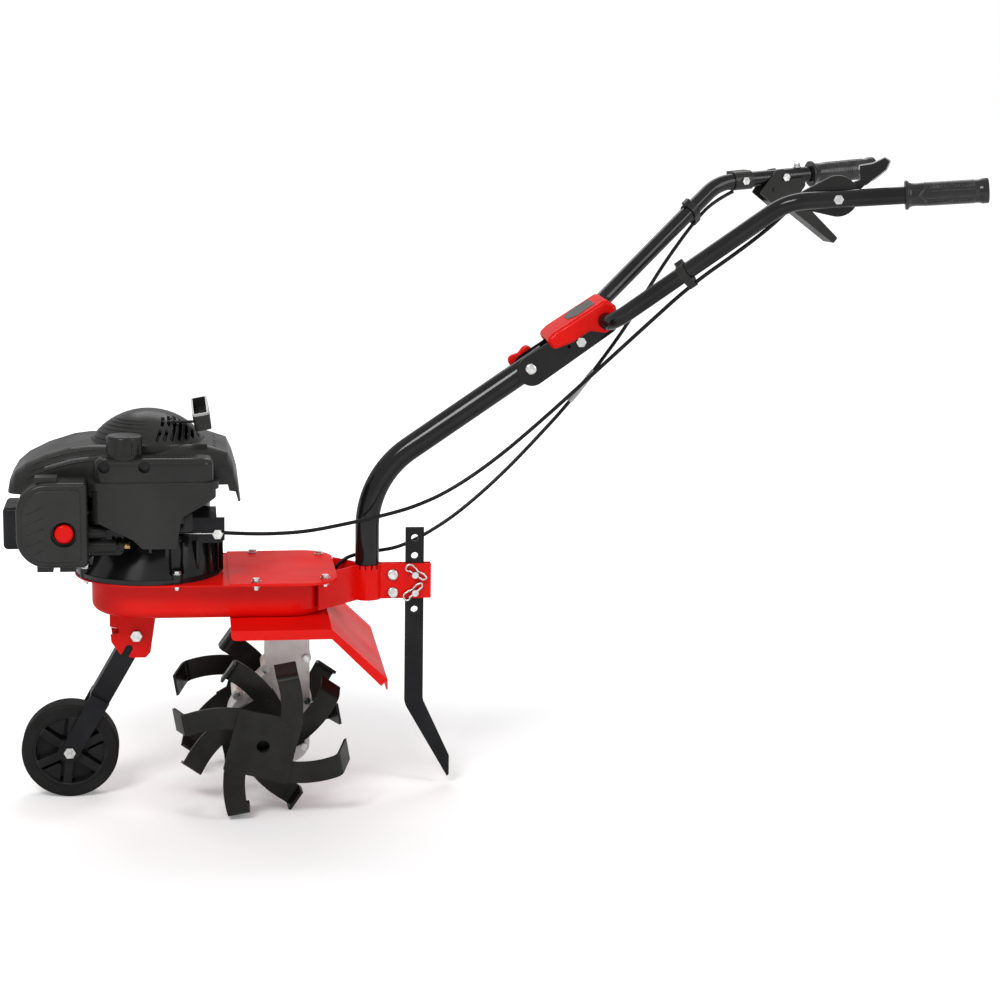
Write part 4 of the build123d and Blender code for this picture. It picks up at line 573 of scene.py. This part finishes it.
# one raised spoke along X, its foot sunk in the dish
def wheelSpoke():
    m = moulding
    spoke = bmesh.new()
    bmesh.ops.create_cube(spoke, size=1.0)
    depth = m["spokeHalf"] - m["dish"] + m["sink"]
    bmesh.ops.scale(spoke, verts=spoke.verts, vec=(m["lip"] - m["hub"] + m["spokeLap"], m["spokeW"], depth))
    soften(spoke, spoke.edges[:], m["spokeSoft"])
    shift(spoke, ((m["lip"] + m["hub"]) / 2, 0, m["spokeHalf"] - depth / 2))
    return spoke


def makeWheel():
    m = moulding
    edge = m["edge"]
    profile = [(m["bore"], -m["hubHalf"]), (m["hub"] - edge, -m["hubHalf"]), (m["hub"], -m["hubHalf"] + edge),
               (m["hub"] + edge, -m["dish"]), (m["lip"] - edge, -m["dish"]), (m["lip"], -m["half"] + edge),
               (m["lip"] + edge, -m["half"]), (m["r"], -m["half"])]
    profile += [(r, -z) for r, z in reversed(profile)]
    bm = lathe(profile + [profile[0]], m["steps"])
    step = 360 / m["spokes"]
    for face in (0.0, math.pi):
        for i in range(m["spokes"]):
            parts = [(wheelSpoke(), i * step)]
            if i % 2:
                parts.append((wheelPad(), (i + 0.5) * step))
            for part, turn in parts:
                bmesh.ops.rotate(part, verts=part.verts, matrix=Matrix.Rotation(face, 3, "X"))
                angle = math.radians(m["turn"] + turn)
                bmesh.ops.rotate(part, verts=part.verts, matrix=Matrix.Rotation(angle, 3, "Z"))
                mergeInto(bm, part)
    settle(bm, m["centre"], (0, -1, 0), (1, 0, 0))
    piece = addPiece("wheelMoulding", bm, "wheelPlastic", "front_wheel")
    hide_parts("wheel_rim")


makeWheel()
print("wheel made")

# grey six-cornered inset on the head cover's sloping top: outline in millimetres from the hinge bolt
headInset = dict(
    hinge=(0.0849958, 0.630), along=(0.824126, 0.566406),
    lift=1.0, sunk=1.5, margin=5.0, recess=0.8, edge=0.5,
    coverTop=29.0, coverFall=2.0, coverStart=57.0, coverLength=87.0,
    outline=[(129, -27), (129, 27), (97, 31), (84, 15), (84, -15), (97, -31)])


def makeInset():
    h = headInset
    bm = bmesh.new()
    face = bm.faces.new([bm.verts.new((a, y, 0)) for a, y in h["outline"]])
    raiseFace(bm, face, h["lift"] + h["sunk"])
    bmesh.ops.recalc_face_normals(bm, faces=bm.faces)
    panel = max(bm.faces, key=lambda f: f.calc_center_median().z)
    bmesh.ops.inset_region(bm, faces=[panel], thickness=h["margin"], depth=-h["recess"])
    soften(bm, [e for e in bm.edges if e.calc_face_angle(0) > 0.5], h["edge"])
    ax, az = h["along"]
    for v in bm.verts:
        fall = h["coverFall"] * (v.co.x - h["coverStart"]) / h["coverLength"]
        up = h["coverTop"] - fall - h["sunk"] + v.co.z
        x = h["hinge"][0] + (v.co.x * ax - up * az) / 1000
        z = h["hinge"][1] + (v.co.x * az + up * ax) / 1000
        v.co = (x, v.co.y / 1000, z)
    bmesh.ops.recalc_face_normals(bm, faces=bm.faces)
    addPiece("headInset", bm, "greyPlastic", "handlebar")


makeInset()

# bolt and washer on top of the far handle tube
tubeBolt = dict(
    place=(0.5399, 0.2459, 0.8970), up=(-0.076712, -0.017771, 0.996895), rise=11.7, washer=(6.2, 1.2),
    across=9.0, head=6.0, headFoot=1.0)


def makeTubeBolt():
    b = tubeBolt
    r, thick = b["washer"]
    bm = lathe([(0, 0), (r, 0), (r, thick), (0, thick)], 28)
    head = hexBlock(b["across"] / 1.732, b["head"])
    shift(head, (0, 0, b["headFoot"] + b["head"] / 2))
    mergeInto(bm, head)
    shift(bm, (0, 0, b["rise"]))
    settle(bm, b["place"], b["up"], (1, 0, 0))
    addPiece("tubeBolt", bm, "zincPlate", "handlebar")


makeTubeBolt()

# pale bead along the edge of the throttle lever's blade, a painted highlight, metres
leverHighlightBead = dict(radius=0.0010, route=[
    (0.5079, -0.2076, 0.9300), (0.5079, -0.2076, 0.9340), (0.5081, -0.2077, 0.9356),
    (0.5097, -0.2080, 0.9362), (0.5180, -0.2099, 0.9377), (0.5258, -0.2117, 0.9392),
    (0.5330, -0.2134, 0.9430), (0.5398, -0.2150, 0.9468), (0.5410, -0.2153, 0.9472),
    (0.5422, -0.2155, 0.9469), (0.5475, -0.2167, 0.9440), (0.5484, -0.2170, 0.9430),
    (0.5484, -0.2170, 0.9411), (0.5465, -0.2165, 0.9360), (0.5444, -0.2160, 0.9310),
    (0.5438, -0.2159, 0.9303), (0.5390, -0.2148, 0.9260), (0.5342, -0.2137, 0.9218),
    (0.5270, -0.2120, 0.9160)])
addWires("leverHighlightBead", [leverHighlightBead["route"]], leverHighlightBead["radius"], "paleTrim", "throttle")

# wire loop that joins the free ends of each pin's clip, in millimetres from the pin
clipLoop = dict(
    pins=[(-80.0, -12.05, 297.0, 40.0), (-80.0, -12.05, 324.0, -35.0)], radius=0.0014, route=[
        (-8, 0), (-10.5, 0), (-12.5, -2), (-16.5, -1.6), (-18.2, 3.2), (-16.6, 8), (-12.6, 9.4), (-9, 8.6),
        (-5.5, 8.5)])


def loopRoute(x, y, z, turn):
    c, s = math.cos(math.radians(turn)), math.sin(math.radians(turn))
    turned = [(u * c - v * s, u * s + v * c) for u, v in clipLoop["route"]]
    return [((x + u) / 1000, y / 1000, (z + v) / 1000) for u, v in turned]


addWires("clipLoops", [loopRoute(*pin) for pin in clipLoop["pins"]], clipLoop["radius"], "zincPlate",
         "chassis")

# bare throttle wire from the cable clamp to the carburettor, metres
throttleWire = dict(radius=0.0011, route=[
    (-0.3610, -0.1073, 0.4100), (-0.3880, -0.1072, 0.4100), (-0.4060, -0.1050, 0.4100),
    (-0.4200, -0.0950, 0.4090), (-0.4320, -0.0830, 0.4080), (-0.4580, -0.0780, 0.4060),
    (-0.4880, -0.0780, 0.4040), (-0.5150, -0.0800, 0.4030)])
addWires("throttleWire", [throttleWire["route"]], throttleWire["radius"], "turnedSteel", "chassis")

# collar and brass nut on the carburettor's lower pipe: radius and length of each
pipeFitting = dict(place=(-0.5060, -0.112, 0.395), bore=5.05, edge=1, collar=(8.2, 7.0), brass=(4.6, 9.0))


def makeFitting():
    f = pipeFitting
    r, w = f["collar"]
    edge = f["edge"]
    bm = lathe([(f["bore"], 0), (r - edge, 0), (r, edge), (r, w - edge), (r - edge, w), (f["bore"], w)], 32)
    bmesh.ops.holes_fill(bm, edges=[e for e in bm.edges if e.is_boundary])
    r, long = f["brass"]
    nut = hexBlock(r, long)
    shift(nut, (0, 0, w + long / 2 - edge))
    mergeInto(bm, nut, 1)
    settle(bm, f["place"], (1, 0, 0), (0, 0, 1))
    addPiece("pipeFitting", bm, "tankPlastic gearBronze", "chassis")


makeFitting()

# starter dome: thin skin with curved slots on both rear quarters, swept ribs and a dark screen inside that is
# painted shade seen through the slots
starterDome = dict(
    axis=(-466.0, 0.0), rim=80.0, floor=517.0, skirt=530.0, top=572.0, wall=3.0, steps=144,
    outerRings=(0, 8, 16, 24, 32, 40, 48, 56, 64, 70, 75), innerRings=(74, 68, 60, 50, 40, 30, 20, 10, 0),
    slotCentre=(-66.0, -36.0), slotFirst=88.0, slotPitch=8.3, slotCount=7, slotWidth=4.8,
    slotReach=(38.0, 76.0), slotEdge=-18.0, slotSweep=(-90, 25), slotClear=(6, 8),
    bridged=2, bridge=(56.5, 61.5),
    ribRows=(76.0, 70.0, 64.0, 58.0, 52.0, 46.0), ribSweep=(172.0, 272.0), ribRadius=1.5,
    ribWidths=[0.2, 0.7] + [1.0] * 7 + [0.7, 0.2],
    eyelet=(-433.0, -35.0, 558.0), eyeletLean=(1, 0, 0.35),
    eyeletRing=[(2.4, 0), (5.6, 0), (5.6, 4), (4.6, 5), (2.4, 5), (2.4, 0)],
    shadeScreenRings=(0, 20, 40, 56, 68, 74), shadeScreenDrop=8, shadeScreenFoot=[(74.5, 520), (0, 520)])


def domeHeight(reach, rim, top):
    rise = top - starterDome["skirt"]
    crown = (rim ** 2 + rise ** 2) / (2 * rise)
    return top - crown + math.sqrt(crown ** 2 - reach ** 2)


# stretches of one slot's arc that lie on the skin, in degrees about the slot centre
def slotRuns(radius, split):
    d = starterDome
    runs, start = [], None
    for quarter in range(4 * d["slotSweep"][0], 4 * d["slotSweep"][1]):
        angle = quarter / 4
        x = d["slotCentre"][0] + radius * math.cos(math.radians(angle))
        y = d["slotCentre"][1] + radius * math.sin(math.radians(angle))
        reach = math.hypot(x, y)
        held = d["slotReach"][0] < reach < d["slotReach"][1] and y < d["slotEdge"]
        if split and d["bridge"][0] < reach < d["bridge"][1]:
            held = False
        if held and start is None:
            start = angle
        if not held and start is not None:
            runs.append((start, angle))
            start = None
    return runs


def slotCutters():
    d = starterDome
    bm = bmesh.new()
    low, high = d["skirt"] - d["slotClear"][0], d["top"] + d["slotClear"][1]
    for i in range(d["slotCount"]):
        radius = d["slotFirst"] + i * d["slotPitch"]
        near, far = radius - d["slotWidth"] / 2, radius + d["slotWidth"] / 2
        for first, last in slotRuns(radius, i < d["bridged"]):
            cut = bmesh.new()
            corners = [(near, 0, low), (far, 0, low), (far, 0, high), (near, 0, high)]
            face = cut.faces.new([cut.verts.new(corner) for corner in corners])
            bmesh.ops.rotate(cut, verts=cut.verts, matrix=Matrix.Rotation(math.radians(first), 3, "Z"))
            bmesh.ops.spin(cut, geom=[face], cent=(0, 0, 0), axis=(0, 0, 1), angle=math.radians(last - first),
                           steps=10)
            bmesh.ops.remove_doubles(cut, verts=cut.verts, dist=1e-5)
            bmesh.ops.recalc_face_normals(cut, faces=cut.faces)
            shift(cut, (*d["slotCentre"], 0))
            mergeInto(bm, cut)
    other = bm.copy()
    bmesh.ops.scale(other, verts=other.verts, vec=(1, -1, 1))
    bmesh.ops.reverse_faces(other, faces=other.faces)
    mergeInto(bm, other)
    return bm


def cutAway(body, cutters):
    holders = []
    for name, bm in (("body", body), ("cutters", cutters)):
        mesh = bpy.data.meshes.new(name)
        bm.to_mesh(mesh)
        bm.free()
        holder = bpy.data.objects.new(name, mesh)
        bpy.context.scene.collection.objects.link(holder)
        holders.append(holder)
    cut = holders[0].modifiers.new("cut", "BOOLEAN")
    cut.operation = "DIFFERENCE"
    cut.solver = "EXACT"
    cut.object = holders[1]
    graph = bpy.context.evaluated_depsgraph_get()
    mesh = bpy.data.meshes.new_from_object(holders[0].evaluated_get(graph))
    result = bmesh.new()
    result.from_mesh(mesh)
    for holder in holders:
        bpy.data.objects.remove(holder)
    bpy.data.meshes.remove(mesh)
    return result


def makeDome():
    d = starterDome
    rim, top, thin = d["rim"], d["top"], d["wall"]
    outer = [(r, domeHeight(r, rim, top)) for r in d["outerRings"]]
    skirt = [(rim - 0.8, d["skirt"] + 1.2), (rim, d["skirt"] - 1.0), (rim, d["floor"]),
             (rim - thin, d["floor"]), (rim - thin, d["skirt"] - 1)]
    inner = [(r, domeHeight(r, rim - thin, top - thin)) for r in d["innerRings"]]
    bm = cutAway(lathe(outer + skirt + inner, d["steps"]), slotCutters())
    first, last = d["ribSweep"]
    count = len(d["ribWidths"])
    angles = [math.radians(first + (last - first) * i / (count - 1)) for i in range(count)]
    for reach in d["ribRows"]:
        height = domeHeight(reach, rim, top)
        line = [(reach * math.cos(a), reach * math.sin(a), height) for a in angles]
        bm.from_mesh(splineMesh(line, d["ribRadius"], d["ribWidths"]))
    x, y, z = d["eyelet"]
    ring = lathe(d["eyeletRing"], 28)
    place = seat((x - d["axis"][0], y, z), d["eyeletLean"], (0, 0, 1))
    bmesh.ops.transform(ring, matrix=place, verts=ring.verts)
    mergeInto(bm, ring)
    # dark sheet under the slots: painted shade inside the dome
    shadeScreen = [(r, domeHeight(r, rim, top) - d["shadeScreenDrop"]) for r in d["shadeScreenRings"]] + d["shadeScreenFoot"]
    mergeInto(bm, lathe(shadeScreen, 72), 1)
    shift(bm, (*d["axis"], 0))
    toMetres(bm)
    piece = addPiece("starterDome", bm, "coverPlastic sumpPaint", "chassis")
    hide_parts("recoil_cover")


makeDome()

# dark plate behind the carburettor's pipes: painted shade where the gap behind them looks dark
pipeShadePlate = dict(low=(-549, -101, 379), high=(-500, -98, 440), corner=7.0, edge=0.8)


def makeShadePlate():
    p = pipeShadePlate
    size, middle = spanOf(p["low"], p["high"])
    bm = roundedBlock(size, 1, p["corner"])
    soften(bm, [e for e in bm.edges if abs(e.verts[0].co.y - e.verts[1].co.y) < 1e-6], p["edge"])
    shift(bm, middle)
    toMetres(bm)
    addPiece("pipeShadePlate", bm, "sumpPaint", "chassis")


makeShadePlate()

# intake elbow from the air cleaner to the underside of the cylinder, with a sunk mouth
intakeElbow = dict(low=(-584, -100, 401.5), high=(-543, -30, 431.8), corner=6.0, mouth=3.0)


def makeElbow():
    e = intakeElbow
    size, middle = spanOf(e["low"], e["high"])
    bm = roundedBlock(size, 1, e["corner"])
    near = min(bm.faces, key=lambda f: f.calc_center_median().y)
    bmesh.ops.inset_region(bm, faces=[near], thickness=e["corner"], depth=-e["mouth"])
    shift(bm, middle)
    toMetres(bm)
    addPiece("intakeElbow", bm, "coverPlastic", "chassis")


makeElbow()

# raised ribs along both shoulders of the shroud's nose: X, half width and ridge height at each station
shroudRibs = dict(corner=26.0, radius=0.0013, taper=0.4, drops=(5.0, 12.0, 19.0), stations=[
    (-651, 70, 491), (-636, 76, 503), (-608, 81, 516), (-572, 84, 527), (-548, 84, 530), (-535, 84, 530)])


def ribLine(side, drop):
    corner = shroudRibs["corner"]
    out = math.sqrt(corner ** 2 - (corner - drop) ** 2) - corner
    line = [(x, side * (half + out), high - drop) for x, half, high in shroudRibs["stations"]]
    return [(x / 1000, y / 1000, z / 1000) for x, y, z in line]


def makeRibs():
    r = shroudRibs
    lines = [ribLine(side, drop) for side in (-1, 1) for drop in r["drops"]]
    widths = [r["taper"]] + [1.0] * (len(r["stations"]) - 2) + [r["taper"]]
    addWires("shroudRibs", lines, r["radius"], "coverPlastic", "chassis", widths)


makeRibs()

# five-lobed knob on the hinge bolt, with a boss and a socket in it
starKnob = dict(
    place=(0.0849958, 0.0213, 0.630), r=28.0, dip=0.24, lobes=5, thick=14.0, turn=126.0, edge=3.0, steps=90,
    boss=(10.5, 3.0), socket=(5.2, 2))


def makeKnob():
    k = starKnob
    r = k["r"]
    bm = bmesh.new()
    bmesh.ops.create_cone(bm, cap_ends=True, segments=k["steps"], radius1=r, radius2=r, depth=k["thick"])
    for v in bm.verts:
        angle = math.atan2(v.co.y, v.co.x) - math.radians(k["turn"])
        shrink = 1 - k["dip"] * (0.5 - 0.5 * math.cos(k["lobes"] * angle))
        v.co.x *= shrink
        v.co.y *= shrink
    soften(bm, [e for e in bm.edges if abs(e.verts[0].co.z - e.verts[1].co.z) < 1e-6], k["edge"], 3)
    shift(bm, (0, 0, k["thick"] / 2))
    r, rise = k["boss"]
    hole, deep = k["socket"]
    top = k["thick"] + rise
    boss = [(0, 1), (r, 1), (r, top - 1), (r - 1, top), (hole, top), (hole, top - deep), (0, top - deep)]
    mergeInto(bm, lathe(boss, 32))
    settle(bm, k["place"], (0, 1, 0), (1, 0, 0))
    piece = addPiece("starKnob", bm, "redPlastic", "knob")
    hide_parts("star_knob")


makeKnob()

# starter handle: open-topped moulding with a pale rim that is a painted highlight on its edge, a little
# tilted; its rope runs from one X to another
pullHandle = dict(
    centre=(-390.2, -35.0, 569.5), size=(23.6, 84.0, 25.0), corner=5.0, wall=2.8, depth=15.0, rim=3.2,
    pitch=8.0, roll=-10.0, ropeR=2.0, ropeX=(-483.7, -395.0), ropeZ=558.0)


def makePullHandle():
    h = pullHandle
    bm = roundedBlock(h["size"], 2, h["corner"])
    top = h["size"][2] / 2
    bmesh.ops.bisect_plane(bm, geom=bm.verts[:] + bm.edges[:] + bm.faces[:], dist=1e-5,
                           plane_co=(0, 0, top - h["rim"]), plane_no=(0, 0, 1))
    lid = max(bm.faces, key=lambda f: f.calc_center_median().z)
    bmesh.ops.inset_region(bm, faces=[lid], thickness=h["wall"])
    well = bmesh.ops.extrude_discrete_faces(bm, faces=[lid])["faces"][0]
    bmesh.ops.translate(bm, verts=well.verts, vec=(0, 0, -h["depth"]))
    # the rim band takes the pale finish: painted highlight
    for face in bm.faces:
        if min(v.co.z for v in face.verts) > top - h["rim"] - 0.01:
            face.material_index = 1
    roll, pitch = math.radians(h["roll"]), math.radians(h["pitch"])
    turn = Matrix.Rotation(roll, 3, "Y") @ Matrix.Rotation(pitch, 3, "X")
    bmesh.ops.rotate(bm, verts=bm.verts, matrix=turn)
    shift(bm, h["centre"])
    r = h["ropeR"]
    start, stop = h["ropeX"]
    rope = bmesh.new()
    bmesh.ops.create_cone(rope, cap_ends=True, segments=20, radius1=r, radius2=r, depth=stop - start)
    spot = ((start + stop) / 2, h["centre"][1], h["ropeZ"])
    bmesh.ops.transform(rope, matrix=seat(spot, (1, 0, 0), (0, 0, 1)), verts=rope.verts)
    mergeInto(bm, rope)
    toMetres(bm)
    piece = addPiece("pullHandle", bm, "coverPlastic paleTrim", "starter")
    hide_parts("starter_grip")


makePullHandle()
print("trim made")

# camera: the photograph's standpoint, turned to the machine
cameraView = dict(
    place=(-0.4127, -3.3864, 1.1007), lens=85.121, sensor=36.0, yaw=7.709, pitch=11.064, roll=0.874)


def setCamera(view):
    data = bpy.data.cameras.new("photoCamera")
    data.lens = view["lens"]
    data.sensor_width = view["sensor"]
    camera = bpy.data.objects.new("photoCamera", data)
    aim = Euler((math.radians(90 - view["pitch"]), 0, math.radians(-view["yaw"]))).to_matrix()
    aim = aim @ Matrix.Rotation(math.radians(view["roll"]), 3, "Z")
    camera.matrix_world = Matrix.Translation(view["place"]) @ aim.to_4x4()
    bpy.context.scene.collection.objects.link(camera)
    bpy.context.scene.camera = camera


setCamera(cameraView)

# studio: three soft boxes, a pale floor that keeps the shadow and a white surround
softBoxes = [
    dict(name="keyBox", place=(-1.6, -2.4, 2.9), size=(1.2, 0.9), power=66.0),
    dict(name="fillBox", place=(2.4, -1.8, 1.9), size=(1.0, 1.6), power=28.0),
    dict(name="rearBox", place=(0.2, 2.2, 2.6), size=(2.6, 1.2), power=40.0),
]
lampTarget = (0.0, 0.0, 0.45)
surround = dict(
    ambient=0.45, floorGrey=0.86, floorRough=0.9, floorSize=60.0,
    floorLift=(0.16, 0.75), floorReach=(0.4, 1.8))


# 1 for rays that show the background: camera, mirror and glass rays
def plainRays(tree):
    rays = put(tree, "ShaderNodeLightPath")
    value = rays.outputs["Is Camera Ray"]
    for name in ("Is Glossy Ray", "Is Transmission Ray"):
        either = put(tree, "ShaderNodeMath", operation="MAXIMUM")
        tree.links.new(value, either.inputs[0])
        tree.links.new(rays.outputs[name], either.inputs[1])
        value = either.outputs[0]
    return value


def setStudio():
    target = Vector(lampTarget)
    for box in softBoxes:
        data = bpy.data.lights.new(box["name"], "AREA")
        data.shape = "RECTANGLE"
        data.size, data.size_y = box["size"]
        data.energy = box["power"]
        lamp = bpy.data.objects.new(box["name"], data)
        lamp.location = box["place"]
        lamp.rotation_euler = (target - lamp.location).to_track_quat("-Z", "Y").to_euler()
        bpy.context.scene.collection.objects.link(lamp)
    world = bpy.data.worlds.new("whiteSurround")
    bpy.context.scene.world = world
    world.use_nodes = True
    tree = world.node_tree
    strength = spread(tree, plainRays(tree), 0.0, 1.0, surround["ambient"], 1.0)
    tree.links.new(strength, tree.nodes["Background"].inputs["Strength"])
    tree.nodes["Background"].inputs["Color"].default_value = (1, 1, 1, 1)


def setFloor():
    mesh = bpy.data.meshes.new("paleFloor")
    bm = bmesh.new()
    bmesh.ops.create_grid(bm, x_segments=1, y_segments=1, size=surround["floorSize"] / 2)
    bm.to_mesh(mesh)
    bm.free()
    floor = bpy.data.objects.new("paleFloor", mesh)
    bpy.context.scene.collection.objects.link(floor)
    mat = bpy.data.materials.new("paleFloor")
    mat.use_nodes = True
    tree = mat.node_tree
    shader = tree.nodes["Principled BSDF"]
    grey = surround["floorGrey"]
    shader.inputs["Base Color"].default_value = (grey, grey, grey, 1)
    shader.inputs["Roughness"].default_value = surround["floorRough"]
    shader.inputs["Specular IOR Level"].default_value = 0.0
    shader.inputs["Emission Color"].default_value = (1, 1, 1, 1)
    coords = put(tree, "ShaderNodeTexCoord")
    reach = put(tree, "ShaderNodeVectorMath", operation="LENGTH")
    tree.links.new(coords.outputs["Object"], reach.inputs[0])
    glow = spread(tree, reach.outputs["Value"], *surround["floorReach"], *surround["floorLift"])
    lift = put(tree, "ShaderNodeMath", operation="MULTIPLY")
    tree.links.new(glow, lift.inputs[0])
    tree.links.new(plainRays(tree), lift.inputs[1])
    tree.links.new(lift.outputs[0], shader.inputs["Emission Strength"])
    mesh.materials.append(mat)


setStudio()
setFloor()
bpy.context.scene.view_settings.view_transform = "Standard"
print("studio set")
